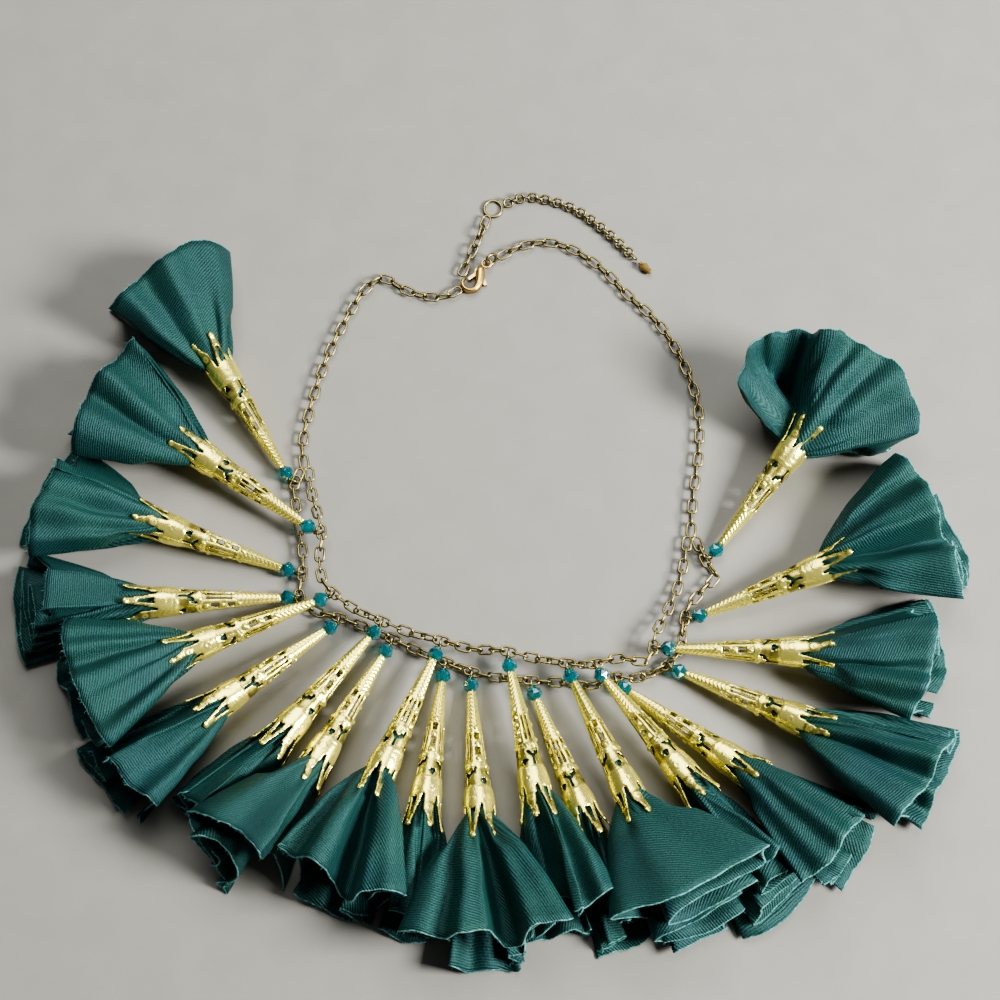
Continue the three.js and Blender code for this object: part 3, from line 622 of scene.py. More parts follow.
def embossing(angle, along):
    """How far the sheet is raised, in mm, by the pattern stamped in it: slanting ribs each side of a quill,
    domes, rims round the squares, two lines, four wavy hoops, a swelling with six petals, and curled rims"""
    quill = from_column(angle, along, 60)
    ribs = 0.5 + 0.5 * np.cos(2 * np.pi * (along + FEATHER["slant"] * np.abs(quill)) / FEATHER["step"])
    height = FEATHER["rib"] * ribs * np.clip((FEATHER["ends"] - along) / 1.2, 0, 1)
    height += FEATHER["quill"] * bump(quill, 0.3) * (along < 10)
    for column, middle, radius in DOMES:
        away = np.hypot(from_column(angle, along, column), along - middle)
        height += DOME_HIGH * np.sqrt(np.clip(1 - (away / radius) ** 2, 0, 1))
    for square in SQUARES:
        x, y = to_square(angle, along, square)
        height += 0.14 * bump(np.abs(np.maximum(x, y) - 0.25), 0.3)
    for column in (30, 90):
        height += 0.16 * bump(from_column(angle, along, column), 0.32) * (along > 11.4) * (along < 20)
    for hoop in HOOPS:
        height += 0.15 * bump(along - hoop - 0.18 * np.cos(6 * angle), 0.34)
    swell = np.clip((along - SWELL["starts"]) / 2.2, 0, 1) * np.clip((SWELL["ends"] - along) / 2.4, 0, 1)
    petals = 0.5 + 0.5 * np.cos(6 * angle + 0.5 * np.sin((along - 26) * 1.3))
    height += swell * (SWELL["high"] + SWELL["petals"] * petals)
    for column, middle, radius in CURLS:
        away = np.hypot(from_column(angle, along, column), along - middle)
        height += 0.17 * bump(away - 0.62 * radius, 0.34 * radius)
    height += 0.3 * bump(np.hypot(from_column(angle, along, 100), along - 39.0), 0.7)
    height += 0.25 * bump(np.hypot(from_column(angle, along, 40) + 0.5, along - 38.8), 0.62)
    return height


def stamped_cone():
    """The pierced sheet rolled round the cone. Its corners that are near an edge of the metal are moved on
    to it, the cells outside the metal are left out, and the rest are pushed out by the embossing. Gives
    points in mm along, across and up from the small end, triangles, and the height of the embossing"""
    turns = np.arange(AROUND) * 2 * np.pi / AROUND
    angle, along = np.meshgrid(turns, np.linspace(0, CONE["length"] - 0.15, UPWARD + 1), indexing="ij")
    cell = np.stack([cone_radius(along) * 2 * np.pi / AROUND, np.full(along.shape, CONE["length"] / UPWARD)])
    near = 0.01
    depth = metal_depth(angle, along)
    slope_round = (metal_depth(angle + near / cone_radius(along), along) - depth) / near
    slope_along = (metal_depth(angle, along + near) - depth) / near
    steep = np.maximum(slope_round**2 + slope_along**2, 0.25)
    move = np.where(np.abs(depth) < 0.55 * cell.max(axis=0), -depth / steep, 0)
    shift_round = np.clip(move * slope_round, -0.48 * cell[0], 0.48 * cell[0])
    shift_along = np.clip(move * slope_along, -0.48 * cell[1], 0.48 * cell[1])
    angle, along = angle + shift_round / cone_radius(along), along + shift_along
    inside = metal_depth(angle, along) > -0.06

    i, j = np.meshgrid(np.arange(AROUND), np.arange(UPWARD), indexing="ij")
    a = i * (UPWARD + 1) + j
    b = ((i + 1) % AROUND) * (UPWARD + 1) + j
    kept = inside.ravel()
    even = ((i + j) % 2 == 0)[..., None]
    first = np.where(even, np.stack([a, b, b + 1], -1), np.stack([a, b, a + 1], -1))
    second = np.where(even, np.stack([a, b + 1, a + 1], -1), np.stack([b, b + 1, a + 1], -1))
    triangles = np.concatenate([first.reshape(-1, 3), second.reshape(-1, 3)])
    triangles = triangles[kept[triangles].all(axis=1)]
    flat_round, flat_along = angle.ravel(), along.ravel()
    corner = flat_round[triangles]
    corner = corner - 2 * np.pi * np.round((corner - corner[:, :1]) / (2 * np.pi))
    middle = metal_depth(corner.mean(axis=1), flat_along[triangles].mean(axis=1))
    triangles = triangles[middle > -0.02]

    height = embossing(angle, along)
    radius = cone_radius(along) + height
    points = np.stack([along, radius * np.cos(angle), radius * np.sin(angle)], axis=-1).reshape(-1, 3)
    used, triangles = np.unique(triangles, return_inverse=True)
    return points[used], triangles.reshape(-1, 3), height.ravel()[used]


def gold_brass():
    """Stamped brass with a bright yellow gold plate on the raised work, and painted shade between: brownish,
    in random blotches, where the sheet is not raised"""
    material, tree, place = new_material("gold_plated_brass")
    raised = add_node(tree, "ShaderNodeAttribute", {}, attribute_name="raised").outputs["Fac"]
    blotch = add_noise(tree, place, scale=420, detail=5)
    # Painted shade: the lower the embossing, the darker brown, mixed with random blotches
    bright = add_maths(tree, "MULTIPLY_ADD", blotch, 0.35, raised)
    colour = add_ramp(tree, bright, (0.08, "#4f410c"), (0.3, "#fff482"))
    relief = add_bump(tree, add_noise(tree, place, scale=2600, detail=4), strength=0.55, distance=0.0001)
    set_surface(tree, {"Base Color": colour, "Metallic": 0.84, "Roughness": 0.25, "Normal": relief})
    return material


plated = gold_brass()
cone_points, cone_triangles, cone_height = stamped_cone()
for number, drop in enumerate(drops, 1):
    roll = math.radians(drop["roll"])
    turned = cone_points.copy()
    turned[:, 1] = cone_points[:, 1] * math.cos(roll) - cone_points[:, 2] * math.sin(roll)
    turned[:, 2] = cone_points[:, 1] * math.sin(roll) + cone_points[:, 2] * math.cos(roll)
    basis = np.stack([drop["axis"], drop["across"], drop["lift"]], axis=1)
    cone = new_piece(f"cone_{number:02d}_shell", turned @ basis.T * MM + drop["tip"], cone_triangles, plated)
    # How high the embossing is at each point; the gold material paints shade where it is low
    raised = cone.data.attributes.new("raised", "FLOAT", "POINT")
    raised.data.foreach_set("value", (cone_height / DOME_HIGH).astype(np.float32))
    wall = cone.modifiers.new("sheet", "SOLIDIFY")
    wall.thickness = CONE["wall"] * MM
    wall.offset = -1
    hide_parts(f"cone_{number:02d}")
    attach(cone, "necklace")

# Crystals
# A teal glass bead 4 mm across, cut with a ring of facets above and below its girdle, threaded on the pin
# against the cone's small end.

CRYSTAL = {"diameter": 4.1, "height": 3.6, "table": 1.9, "cuts": 7}  # mm


def cut_crystal():
    """Rings of corners: a table at each end and a wider girdle between, whose corners lie half way between
    the tables' corners, so that triangles and kites alternate round it"""
    cuts = CRYSTAL["cuts"]
    rings = []
    for along, radius, shift in (
        (-CRYSTAL["height"], CRYSTAL["table"] / 2, 0.0),
        (-0.66 * CRYSTAL["height"], 0.47 * CRYSTAL["diameter"], 0.5),
        (-0.34 * CRYSTAL["height"], 0.5 * CRYSTAL["diameter"], 0.0),
        (0.0, CRYSTAL["table"] / 2, 0.5),
    ):
        turn = (np.arange(cuts) + shift) * 2 * np.pi / cuts
        rings.append(np.stack([np.full(cuts, along), radius * np.cos(turn), radius * np.sin(turn)], axis=1))
    points = np.vstack(rings + [[[-CRYSTAL["height"], 0, 0], [0, 0, 0]]])
    k = np.arange(cuts)
    faces = []
    for ring in range(3):
        a, b = ring * cuts + k, ring * cuts + (k + 1) % cuts
        c, d = (ring + 1) * cuts + k, (ring + 1) * cuts + (k + 1) % cuts
        if ring % 2 == 0:
            faces += [np.stack([a, b, c], 1), np.stack([b, d, c], 1)]
        else:
            faces += [np.stack([a, d, c], 1), np.stack([a, b, d], 1)]
    faces.append(np.stack([np.full(cuts, 4 * cuts), (k + 1) % cuts, k], 1))
    faces.append(np.stack([np.full(cuts, 4 * cuts + 1), 3 * cuts + k, 3 * cuts + (k + 1) % cuts], 1))
    return points, np.concatenate(faces)


def teal_glass():
    """Cut lead glass coloured teal: clear, with a high index, so its facets flash and its depths darken"""
    material, tree, _ = new_material("teal_cut_glass")
    qualities = {
        "Base Color": linear("#0aa6b2"),
        "Roughness": 0.01,
        "IOR": 1.7,
        "Transmission Weight": 0.88,
        "Coat Weight": 1.0,
        "Coat Roughness": 0.01,
    }
    set_surface(tree, qualities)
    return material


bases = np.stack([np.stack([d["axis"], d["across"], d["lift"]], axis=1) for d in drops])
tips = np.stack([d["tip"] for d in drops])
crystal, crystal_faces = cut_crystal()
crystals = new_piece(
    "crystals", *repeated(crystal * MM, crystal_faces, tips, bases), teal_glass(), smooth=False
)
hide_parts(*(f"cone_{number:02d}" for number in range(1, 21)))
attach(crystals, "necklace")

# Eye pins
# Soft brass wire 0.5 mm thick, turned to a loop round one side of a link, and wrapped once at its neck.

EYE = {"length": 3.0 * MM, "width": 3.0 * MM, "wire": 0.52 * MM}
EYE_OUT = 0.75 * MM  # from the chain's middle to the loop's
NECK = {"radius": 0.42, "coils": 2, "swell": 0.25, "above": 0.75, "sunk": 0.1}  # mm, and a share

anchors, outs, alongs = [], [], []
for drop in drops:
    route = routes[drop["strand"]]
    anchor, along = along_route(route, np.array([drop["share"] * route[1][-1]]))
    out = drop["axis"] - along[0] * (drop["axis"] @ along[0])
    anchors.append(anchor[0])
    alongs.append(along[0])
    outs.append(unit(out))
anchors, outs, alongs = np.array(anchors), np.array(outs), np.array(alongs)
eye, eye_faces = bent_wire(**EYE, round_steps=18)
eye_bases = np.stack([outs, np.cross(alongs, outs), alongs], axis=2)
loop_points, loop_faces = repeated(eye, eye_faces, anchors + outs * EYE_OUT, eye_bases)


def wrapped_neck(rings=9, corners=8):
    """The pin's neck between the loop and the crystal: a short post with a swelling for each coil"""
    along = np.linspace(-CRYSTAL["height"] - NECK["above"], -CRYSTAL["height"] + NECK["sunk"], rings)
    turn = np.arange(corners) * 2 * np.pi / corners
    coils = np.abs(np.sin(np.linspace(0, np.pi * NECK["coils"], rings)))[:, None]
    radius = NECK["radius"] * (1 + NECK["swell"] * coils)
    across, lift = (radius * np.cos(turn)).ravel(), (radius * np.sin(turn)).ravel()
    wall = np.stack([np.repeat(along, corners), across, lift], axis=1)
    return np.vstack([wall, [along[0], 0, 0], [along[-1], 0, 0]]) * MM, capped_tube(rings, corners)


neck_points, neck_faces = repeated(*wrapped_neck(), tips, bases)
loops = new_piece("eye_loops", loop_points, loop_faces, old_brass)
necks = new_piece("eye_necks", neck_points, neck_faces, old_brass)
for piece in (loops, necks):
    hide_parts(*(f"cone_{number:02d}" for number in range(1, 21)))
    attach(piece, "necklace")

# Ruffles
# Each is a strip of teal cotton twill about 44 mm wide, gathered along one edge into the cone's mouth and
# glued there. It bursts out between the prongs and spreads at once to a broad fan, which folds back under
# itself in layers, and each fan lies over or under its neighbours. The other edge is left raw.

RUFFLE = {"reach": 24.0, "half": 20.0, "crest": 13.0, "neck": 11.0, "gap": 0.45, "hinge": 3.5}  # mm
CLOTH_WALL = 0.45
CLOTH_WIDTH = 44.0  # from the gathered edge to the raw one
MOUTH = {"radius": 2.7, "at": 31.5, "past": 8.3}
STRIP_STEPS, WIDTH_STEPS, THROAT_STEPS = 180, 20, 3
LOWEST = 0.4  # from the table to the middle of the cloth's thickness
FOLD = {"deep": 1.6, "within": 4.0, "sink": 0.25}  # how the edge turns back at a neighbour
PRONG = {"first": 40, "apart": 60, "half": 13, "past": 3.5}  # degrees, and mm past the tips
PLEAT = {"number": 13, "mouth": 0.05, "deep": 2.3}  # round the mouth
WAVE = {"number": 8.2, "deep": 3.8}  # along the strip
CRUMPLE = 0.9
BOWL = {"drop": 20, "middle": 0.72, "half": 0.17, "deep": 15.0}  # shares of the strip, and mm

# Small wiggles of the raw edge's reach: their size as a share of it, how many there are along the strip,
# and by how much of a turn they start later from one drop to the next
WIGGLES = [(0.026, 3.1, 0.37), (0.018, 8.3, 0.61), (0.004, 31, 0.23)]
RISES = {"size": 0.035, "number": 13, "later": 0.43}  # the same for its height, unevenly spaced
# How the raw edge runs, from one end of the strip to the other: across from -1 at the right neighbour to 1
# at the left one, height as a share of the crest, and reach as a share of the ruffle's
EDGES = {
    "fan": [
        (0.2, 0.03, 1.02), (0.7, 0.08, 1.04), (1.0, 0.16, 0.94), (1.05, 0.42, 0.82), (0.84, 0.76, 0.82),
        (0.52, 0.95, 0.92), (0.22, 0.82, 0.97), (-0.08, 1.0, 0.96), (-0.42, 0.84, 1.0), (-0.76, 0.92, 0.93),
        (-1.02, 0.64, 0.82), (-1.04, 0.4, 0.84), (-0.72, 0.5, 0.98), (-0.34, 0.42, 1.06),
        (-0.62, 0.26, 1.04), (-1.02, 0.24, 0.92), (-0.72, 0.08, 1.06), (-0.2, 0.06, 1.14),
        (0.12, 0.26, 1.08), (0.34, 0.04, 1.14), (0.7, 0.18, 1.08),
    ],
    "flat": [
        (0.5, 0.03, 1.06), (0.96, 0.06, 1.0), (1.06, 0.24, 0.86), (0.96, 0.66, 0.8), (0.6, 0.94, 0.88),
        (0.26, 0.86, 0.95), (-0.1, 1.0, 0.97), (-0.5, 0.92, 0.98), (-0.86, 0.76, 0.9), (-1.05, 0.44, 0.82),
        (-0.9, 0.28, 0.94), (-0.5, 0.36, 1.05), (-0.08, 0.24, 1.1), (-0.42, 0.12, 1.12), (-0.96, 0.08, 1.0),
        (-0.62, 0.03, 1.14), (0.0, 0.05, 1.18), (0.4, 0.16, 1.12),
    ],
    "stack": [
        (0.7, 0.03, 1.1), (1.02, 0.12, 0.96), (1.02, 0.56, 0.78), (0.72, 0.92, 0.76), (0.22, 1.0, 0.8),
        (-0.3, 0.99, 0.82), (-0.76, 0.92, 0.8), (-1.03, 0.8, 0.76), (-0.82, 0.72, 0.88), (-0.4, 0.76, 0.93),
        (0.02, 0.72, 0.93), (0.32, 0.63, 0.97), (0.0, 0.56, 1.0), (-0.5, 0.58, 0.98), (-0.96, 0.54, 0.88),
        (-1.04, 0.44, 0.88), (-0.7, 0.38, 1.0), (-0.2, 0.44, 1.06), (0.3, 0.42, 1.06), (0.56, 0.3, 1.09),
        (0.1, 0.24, 1.14), (-0.5, 0.28, 1.1), (-1.0, 0.2, 0.98), (-0.8, 0.08, 1.1), (-0.3, 0.06, 1.2),
        (0.3, 0.1, 1.24), (0.72, 0.04, 1.15),
    ],
    "pocket": [
        (0.5, 0.03, 1.08), (0.92, 0.14, 1.0), (1.05, 0.46, 0.84), (0.84, 0.84, 0.82), (0.5, 0.82, 0.94),
        (0.3, 1.0, 0.92), (0.06, 0.96, 0.92), (-0.08, 0.6, 0.98), (-0.18, 0.36, 1.04), (-0.34, 0.52, 1.02),
        (-0.46, 0.92, 0.93), (-0.76, 0.94, 0.86), (-1.04, 0.66, 0.8), (-1.0, 0.3, 0.9), (-0.6, 0.18, 1.06),
        (-0.2, 0.22, 1.12), (-0.44, 0.08, 1.14), (-0.92, 0.05, 1.02), (-0.4, 0.03, 1.18), (0.16, 0.06, 1.2),
        (0.42, 0.24, 1.14),
    ],
    "curl": [
        (0.95, 0.05, 0.94), (1.05, 0.5, 0.8), (0.8, 0.9, 0.8), (0.4, 0.86, 0.86), (0.04, 1.0, 0.8),
        (-0.36, 0.98, 0.78), (-0.74, 0.92, 0.82), (-1.02, 0.64, 0.94), (-1.02, 0.24, 1.08),
        (-0.74, 0.04, 1.18), (-0.36, 0.05, 1.22), (-0.08, 0.3, 1.14), (-0.18, 0.62, 1.0),
        (-0.5, 0.76, 0.94), (-0.8, 0.54, 0.99), (-0.72, 0.26, 1.08), (-0.44, 0.22, 1.1),
        (-0.34, 0.42, 1.05), (-0.5, 0.54, 1.02),
    ],
    "hollow": [
        (0.1, 0.05, 0.6), (0.6, 0.05, 0.52), (1.04, 0.14, 0.3), (1.18, 0.4, 0.32), (1.04, 0.66, 0.56),
        (0.72, 0.82, 0.76), (0.4, 0.9, 0.86), (0.12, 0.94, 0.87), (-0.18, 1.0, 0.82), (-0.46, 1.22, 0.7),
        (-0.6, 0.94, 0.62), (-0.8, 0.94, 0.52), (-1.0, 1.0, 0.34), (-1.12, 0.96, 0.12),
        (-1.08, 0.86, -0.12), (-0.94, 0.72, -0.28), (-0.74, 0.54, -0.32), (-0.52, 0.4, -0.24),
    ],
}

# One row for each drop: the edge it takes, 1 or -1 for which hand it has, its reach, width to the left and
# right and crest as shares of RUFFLE's, where its gathers start, and how far the plane between it and the
# next drop leans, both in degrees: above 0 it lies over the next one, and below 0 under it
RUFFLE_COLUMNS = ("edge", "hand", "reach", "left", "right", "crest", "gather", "lap")
RUFFLES = [
    ("flat", 1, 0.95, 1.02, 0.88, 0.90, 0, 10),
    ("fan", 1, 0.98, 1.00, 0.95, 1.00, 12, 35),
    ("flat", -1, 0.98, 1.00, 0.90, 0.85, 5, 30),
    ("stack", -1, 0.96, 1.00, 0.95, 0.70, 16, -32),
    ("fan", -1, 0.98, 1.02, 1.00, 0.92, 3, 32),
    ("flat", 1, 1.02, 0.92, 0.98, 0.80, 9, 15),
    ("fan", 1, 0.88, 0.90, 0.90, 0.50, 14, -42),
    ("curl", 1, 1.04, 0.95, 1.10, 1.10, 2, -20),
    ("pocket", -1, 1.00, 1.05, 0.95, 1.00, 7, 36),
    ("flat", -1, 0.90, 0.92, 0.92, 0.42, 11, -45),
    ("pocket", -1, 1.08, 1.12, 1.20, 1.10, 4, 40),
    ("fan", 1, 1.04, 1.02, 0.92, 0.85, 0, 34),
    ("flat", 1, 0.92, 0.92, 0.92, 0.45, 8, -45),
    ("stack", -1, 1.10, 1.28, 1.02, 1.05, 15, 42),
    ("stack", -1, 1.12, 1.05, 1.00, 0.70, 6, -30),
    ("flat", 1, 1.10, 1.05, 1.00, 1.02, 10, -25),
    ("fan", -1, 1.12, 0.98, 1.08, 1.05, 1, -25),
    ("flat", -1, 1.00, 1.00, 0.96, 0.95, 13, -28),
    ("pocket", 1, 1.02, 1.05, 1.05, 0.90, 5, -15),
    ("hollow", -1, 1.06, 1.05, 1.10, 1.10, 9, 0),
]


def raw_edge(points, steps):
    """A Catmull-Rom curve through the edge's points, evenly spaced along its length"""
    knots = np.array(points)
    knots = np.vstack([2 * knots[0] - knots[1], knots, 2 * knots[-1] - knots[-2]])
    p0, p1, p2, p3 = (knots[i : len(knots) - 3 + i, None, :] for i in range(4))
    t = np.linspace(0, 1, 24, endpoint=False)[None, :, None]
    line = 0.5 * (
        2 * p1 + (p2 - p0) * t + (2 * p0 - 5 * p1 + 4 * p2 - p3) * t**2 + (3 * p1 - p0 - 3 * p2 + p3) * t**3
    )
    line = np.vstack([line.reshape(-1, 3), knots[-2]])
    scaled = line * [RUFFLE["half"], RUFFLE["crest"], RUFFLE["reach"]]
    gone = distance_along(scaled)
    even = np.linspace(0, gone[-1], steps)
    return np.stack([np.interp(even, gone, line[:, i]) for i in range(3)], axis=1)


def crown_of(drop):
    """The middle of the cone's prongs at their tips, in mm"""
    return drop["tip"] / MM + drop["axis"] * (MOUTH["at"] + MOUTH["past"])


def dividing_plane(right, left, lap):
    """The plane half way between two cones' mouths, as a point and a unit normal towards the left one. It
    leans over the left one by the lap, and hinges just above the table"""
    mouths = [d["tip"] / MM + d["axis"] * MOUTH["at"] for d in (right, left)]
    middle = (mouths[0] + mouths[1]) / 2
    middle[2] = RUFFLE["hinge"]
    level = np.cross(UP, unit(right["level"] + left["level"]))
    lean = math.radians(lap)
    return middle, level * math.cos(lean) - UP * math.sin(lean)


def spread_edge(drop, row, edge, planes):
    """The raw edge in place: forward of the prongs by its reach, up by its height, and out to each side.
    Where it would pass the plane between it and a neighbour, it stops there, turns back a little in a soft
    fold, and sinks if the neighbour lies over it. The first plane is the left neighbour's"""
    crown = crown_of(drop)
    across = edge[:, 0] * row["hand"]
    rim = crown + drop["level"] * (RUFFLE["reach"] * row["reach"] * edge[:, 2])[:, None]
    rim[:, 2] = 0.5 + edge[:, 1] * (crown[2] + RUFFLE["crest"] * row["crest"] - 1.0)
    half = RUFFLE["half"] * np.where(across > 0, row["left"], row["right"])
    rim = rim + drop["across"] * (across * half)[:, None]
    for plane, side in zip(planes, (1, -1)):
        if plane is None:
            continue
        middle, normal = plane
        past = np.maximum(side * ((rim - middle) @ normal) + RUFFLE["gap"], 0)
        back = past + FOLD["deep"] * (1 - np.exp(-past / FOLD["within"]))
        rim = rim - drop["across"] * (back / (side * (drop["across"] @ normal)))[:, None]
        rim[:, 2] -= FOLD["sink"] * np.maximum(side * normal[2], 0.0) * past
    rim[:, 2] = np.maximum(rim[:, 2], LOWEST)
    return rim
def under_prongs(points, drop):
    """Cloth held in by the prongs: near each prong, and up to its tip, it comes no further from the cone's
    middle line than the prong's inside, and between them it is free"""
    local = points - drop["tip"] / MM
    along = local @ drop["axis"]
    x, y = local @ drop["across"], local @ drop["lift"]
    far = np.hypot(x, y)
    turn = np.degrees(np.arctan2(y, x)) - drop["roll"] - PRONG["first"]
    away = (turn + PRONG["apart"] / 2) % PRONG["apart"] - PRONG["apart"] / 2
    inside = cone_radius(np.clip(along, 0, CONE["length"])) - CONE["wall"] - 0.55 * CLOTH_WALL
    beyond = np.clip((CONE["length"] + PRONG["past"] - along) / PRONG["past"], 0, 1)
    held = np.exp(-((away / PRONG["half"]) ** 2)) * beyond
    pull = held * np.maximum(far - inside, 0) / np.maximum(far, 1e-6)
    return points - (x * pull)[..., None] * drop["across"] - (y * pull)[..., None] * drop["lift"]


def gathered_cloth(drop, row, planes, index):
    """The strip as a grid, from the gathers in the cone's mouth to the raw edge. A line across the strip
    leaves the mouth at the prongs' foot and goes to its point of the raw edge, sideways sooner than
    forward. It is moved in and out by small pleats that fade out from the mouth, by broad waves that
    swing along the strip and nearly die at the edge, and by a finer crumple. On one drop a lobe sags.
    Gives points in mm, and how far each is along and across the strip"""
    edge = raw_edge(EDGES[row["edge"]], STRIP_STEPS + 1)
    run = np.linspace(0, 1, STRIP_STEPS + 1)
    for size, number, later in WIGGLES:
        edge[:, 2] += size * np.sin(2 * np.pi * (number * run + later * index))
    rises = RISES["number"] * run + 0.6 * np.sin(9 * run + index) + RISES["later"] * index
    edge[:, 1] += RISES["size"] * np.sin(2 * np.pi * rises)
    rim = spread_edge(drop, row, edge, planes)

    first = -70 if row["hand"] > 0 else 250
    turn = np.radians(first + row["hand"] * 350 * run)
    out = drop["across"] * np.cos(turn)[:, None] + drop["lift"] * np.sin(turn)[:, None]
    phase = PLEAT["number"] * turn + math.radians(row["gather"])
    phase += 1.5 * np.sin(2 * turn + index)
    phase += 0.9 * np.sin(5 * turn + 2 * index)
    foot = drop["tip"] / MM + drop["axis"] * MOUTH["at"]
    pleated = (1 + PLEAT["mouth"] * np.sin(phase))[:, None]
    ring = foot + out * (MOUTH["radius"] * pleated)
    deep = cone_radius(MOUTH["at"] - RUFFLE["neck"]) - CONE["wall"] - CLOTH_WALL
    neck = foot - drop["axis"] * RUFFLE["neck"] + out * (deep * pleated)
    inner = np.linspace(0, 1, THROAT_STEPS, endpoint=False)
    throat = neck[:, None, :] + (ring - neck)[:, None, :] * inner[None, :, None]

    s = np.linspace(0, 1, WIDTH_STEPS)[None, :, None] ** 1.15
    span = rim - ring
    along = (span @ drop["level"])[:, None, None] * drop["level"]
    body = ring[:, None, :] + along * s + (span[:, None, :] - along) * s**0.72
    pleats = PLEAT["deep"] * np.sin(phase)[:, None, None] * s * (1 - s) ** 2.5
    run = run[:, None, None]
    swing = WAVE["number"] * run + 0.5 * np.sin(11 * run + 2 * index) + 0.29 * index
    bend = 0.22 * np.sin(3.5 * s + 5 * run + index)
    fullness = 0.6 + 0.4 * np.sin(2 * np.pi * 2.3 * run + 1.7 * index)
    waves = WAVE["deep"] * fullness * np.sin(2 * np.pi * (swing + bend)) * s**1.5 * (1.08 - s)
    crumple = CRUMPLE * np.sin(23 * run + 7 * s + 2 * index) * np.sin(9 * s + 11 * run)
    body = body + out[:, None, :] * (pleats + waves + crumple * s * (1.2 - s))
    if index + 1 == BOWL["drop"]:
        lobe = np.clip(1 - ((run - BOWL["middle"]) / BOWL["half"]) ** 2, 0, 1)
        sag = 27 / 4 * s * (1 - s) ** 2  # 1 at its deepest, a third of the way out
        body[..., 2] -= (BOWL["deep"] * lobe * sag)[..., 0]
    points = np.concatenate([throat, under_prongs(body, drop)], axis=1)
    points[..., 2] = np.maximum(points[..., 2], LOWEST)
    free = RUFFLE["neck"] + (CLOTH_WIDTH - RUFFLE["neck"]) * s[0, :, 0]
    return points, distance_along(rim), np.concatenate([RUFFLE["neck"] * inner, free])


def strip_places(u, v):
    """Where each of the strip's points lies on the straight strip, and on the strip laid flat as a sector
    of a ring, in which the weave is even all over. Both in mm"""
    straight = np.stack(np.meshgrid(u, v, indexing="ij"), axis=-1).reshape(-1, 2)
    mouth_edge = 2 * math.pi * MOUTH["radius"]
    free = CLOTH_WIDTH - RUFFLE["neck"]
    outer_radius = free * mouth_edge / (u[-1] - mouth_edge) + free
    radius = np.maximum(straight[:, 1] - CLOTH_WIDTH + outer_radius, 0.5)
    angle = straight[:, 0] / outer_radius
    return straight, np.stack([radius * np.cos(angle), radius * np.sin(angle)], axis=1)
RIB_STEP = 0.9  # across and along together, so the ribs are 0.64 mm apart, coarser than real twill's


def teal_twill():
    """Cotton twill: fine diagonal ribs across the strip, soft and matt, with a pale fuzz of cut threads in
    the last millimetre at the raw edge"""
    material, tree, place = new_material("teal_cotton_twill")
    strip = add_node(tree, "ShaderNodeUVMap", {}, uv_map="cloth").outputs["UV"]
    laid_flat = add_node(tree, "ShaderNodeUVMap", {}, uv_map="weave").outputs["UV"]
    threads = add_node(tree, "ShaderNodeSeparateXYZ", {0: laid_flat})
    slant = add_maths(tree, "ADD", threads.outputs["X"], threads.outputs["Y"])
    ribs = add_maths(tree, "SINE", add_maths(tree, "MULTIPLY", slant, 2 * math.pi / RIB_STEP))
    yarn = add_noise(tree, laid_flat, scale=1.9, detail=6, roughness=0.75)
    weave = add_maths(tree, "MULTIPLY_ADD", ribs, 0.17, yarn)
    dyed = add_ramp(tree, weave, (0.34, "#010f0d"), (0.85, "#1e5753"))
    cloudy = add_noise(tree, place, scale=60, detail=3, result="Color")
    faded = add_mix(tree, 0.5, dyed, cloudy, blend="MULTIPLY")
    across = add_node(tree, "ShaderNodeSeparateXYZ", {0: strip}).outputs["Y"]
    ragged = add_maths(tree, "MULTIPLY_ADD", add_noise(tree, strip, scale=1.4, detail=4), 0.7, across)
    fuzz = add_range(tree, ragged, CLOTH_WIDTH + 0.1, CLOTH_WIDTH + 0.55, 0.0, 0.85)
    qualities = {
        "Base Color": add_mix(tree, fuzz, faded, linear("#86cac2")),
        "Roughness": 0.5,
        "Specular IOR Level": 0.7,
        "Specular Tint": linear("#a9e4df"),
        "Sheen Weight": 0.10,
        "Sheen Roughness": 0.45,
        "Sheen Tint": linear("#5fb8b0"),
        "Normal": add_bump(tree, weave, strength=0.9, distance=0.00025),
    }
    set_surface(tree, qualities)
    return material
twill = teal_twill()
ruffle_rows = [dict(zip(RUFFLE_COLUMNS, values)) for values in RUFFLES]
between = [dividing_plane(a, b, row["lap"]) for a, b, row in zip(drops[:-1], drops[1:], ruffle_rows)]
between = [None] + between + [None]
raw_edges = []
for index, (drop, row) in enumerate(zip(drops, ruffle_rows)):
    points, u, v = gathered_cloth(drop, row, (between[index + 1], between[index]), index)
    raw_edges.append((points[:, -1], points[:, -2]))
    rows, columns = points.shape[:2]
    i, j = np.meshgrid(np.arange(rows - 1), np.arange(columns - 1), indexing="ij")
    a = i * columns + j
    faces = np.stack([a, a + 1, a + columns + 1, a + columns], axis=-1).reshape(-1, 4)
    ruffle = new_piece(f"ruffle_{index + 1:02d}_cloth", points.reshape(-1, 3) * MM, faces, twill)
    for layer_name, places in zip(("cloth", "weave"), strip_places(u, v)):
        layer = ruffle.data.uv_layers.new(name=layer_name)
        layer.data.foreach_set("uv", places[faces.ravel()].ravel())
    wall = ruffle.modifiers.new("cloth", "SOLIDIFY")
    wall.thickness = CLOTH_WALL * MM
    wall.offset = 0
    # The strip is cut as an arc, whose inner edge is what the mouth gathers
    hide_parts(f"ruffle_{index + 1:02d}")
    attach(ruffle, "necklace")

# Frayed threads
# Cutting across the twill leaves the ends of its yarns loose, so short pale whiskers stand out of the raw
# edge, and here and there a longer one. They are drawn three times as thick as cotton yarn's fibres.

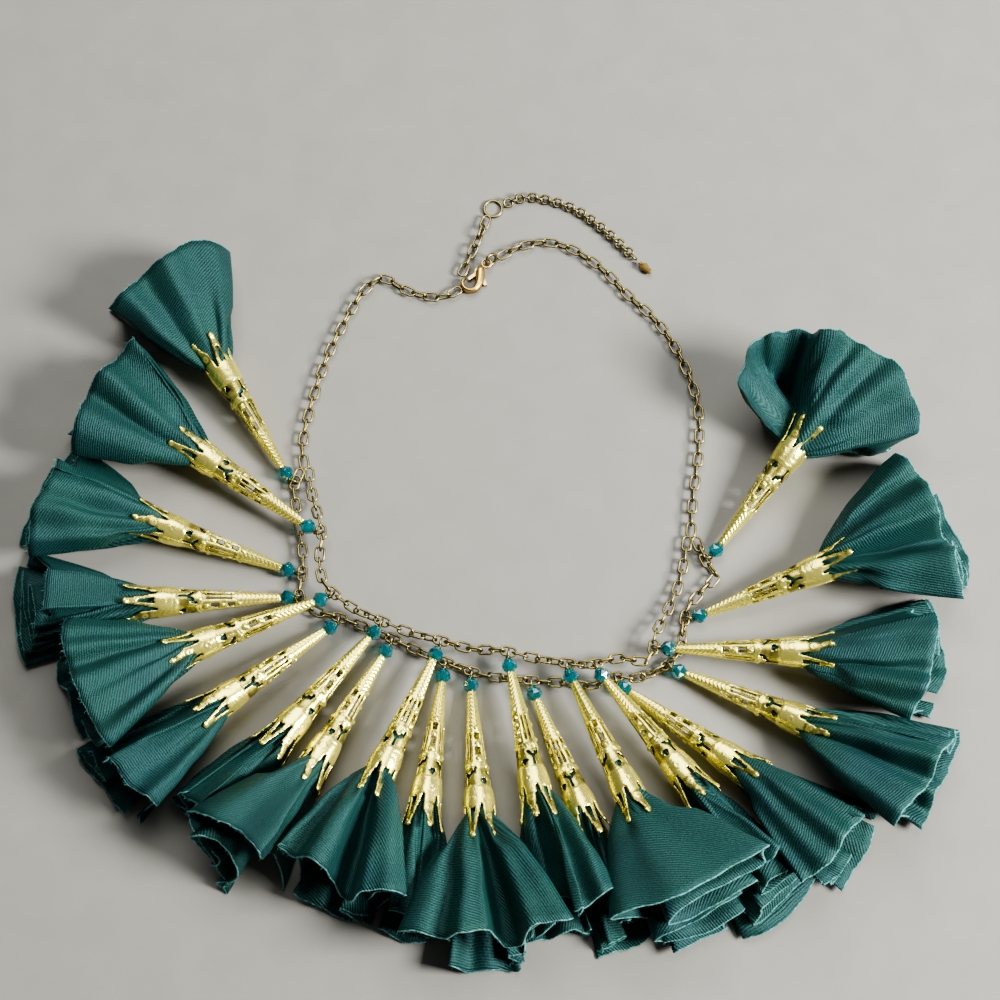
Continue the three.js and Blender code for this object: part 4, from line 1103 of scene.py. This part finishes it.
THREAD = {"thick": 0.07, "shortest": 0.3, "longest": 1.3, "rooted": 0.15}  # mm
THREAD_WAYS = {"aslant": 0.6, "up": 0.12}  # how far they stray from straight out, as slopes
THREADS_EACH = 170  # to a ruffle
def whisker():
    """A three-sided thread 1 long along +X, with a bend in the middle, which ends in a point"""
    turn = np.arange(3) * 2 * np.pi / 3
    ring = np.stack([0 * turn, np.cos(turn), np.sin(turn)], axis=1) / 2
    points = np.vstack([ring, ring + [0.55, 1.6, 0], [[1.0, 0.4, 0.8]]])
    k = np.arange(3)
    after = (k + 1) % 3
    walls = np.concatenate([np.stack([k, after, 3 + after], 1), np.stack([k, 3 + after, 3 + k], 1)])
    tip = np.stack([3 + k, 3 + after, np.full(3, 6)], 1)
    return points, np.concatenate([walls[:, ::-1], tip[:, ::-1], [[0, 1, 2]]])


thread, thread_faces = whisker()
chance = np.random.default_rng(7)
starts, thread_bases = [], []
draws = (THREADS_EACH, 1)
for rim, inner in raw_edges:
    pick = chance.integers(1, len(rim) - 1, THREADS_EACH)
    share = chance.random(draws)
    start = rim[pick] * (1 - share) + rim[pick + 1] * share
    outward = unit(rim[pick] - inner[pick])
    aslant = unit(rim[pick + 1] - rim[pick - 1]) * chance.normal(0, THREAD_WAYS["aslant"], draws)
    way = unit(outward + aslant + UP * chance.normal(0, THREAD_WAYS["up"], draws))
    side = unit(np.cross(way, UP))
    length = THREAD["shortest"] + (THREAD["longest"] - THREAD["shortest"]) * chance.random(draws) ** 3
    starts.append(start - way * THREAD["rooted"])
    thick = np.stack([side, np.cross(way, side)], axis=2) * THREAD["thick"]
    thread_bases.append(np.concatenate([(way * (length + THREAD["rooted"]))[..., None], thick], axis=2))
thread_points, all_thread_faces = repeated(
    thread, thread_faces, np.concatenate(starts), np.concatenate(thread_bases)
)
thread_points[:, 2] = np.maximum(thread_points[:, 2], 0.15)
yarn, yarn_tree, _ = new_material("cotton_yarn")
set_surface(yarn_tree, {"Base Color": linear("#5ba39b"), "Roughness": 0.8})
threads = new_piece("frayed_threads", thread_points * MM, all_thread_faces, yarn, smooth=False)
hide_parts(*(f"ruffle_{number:02d}" for number in range(1, 21)))
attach(threads, "necklace")
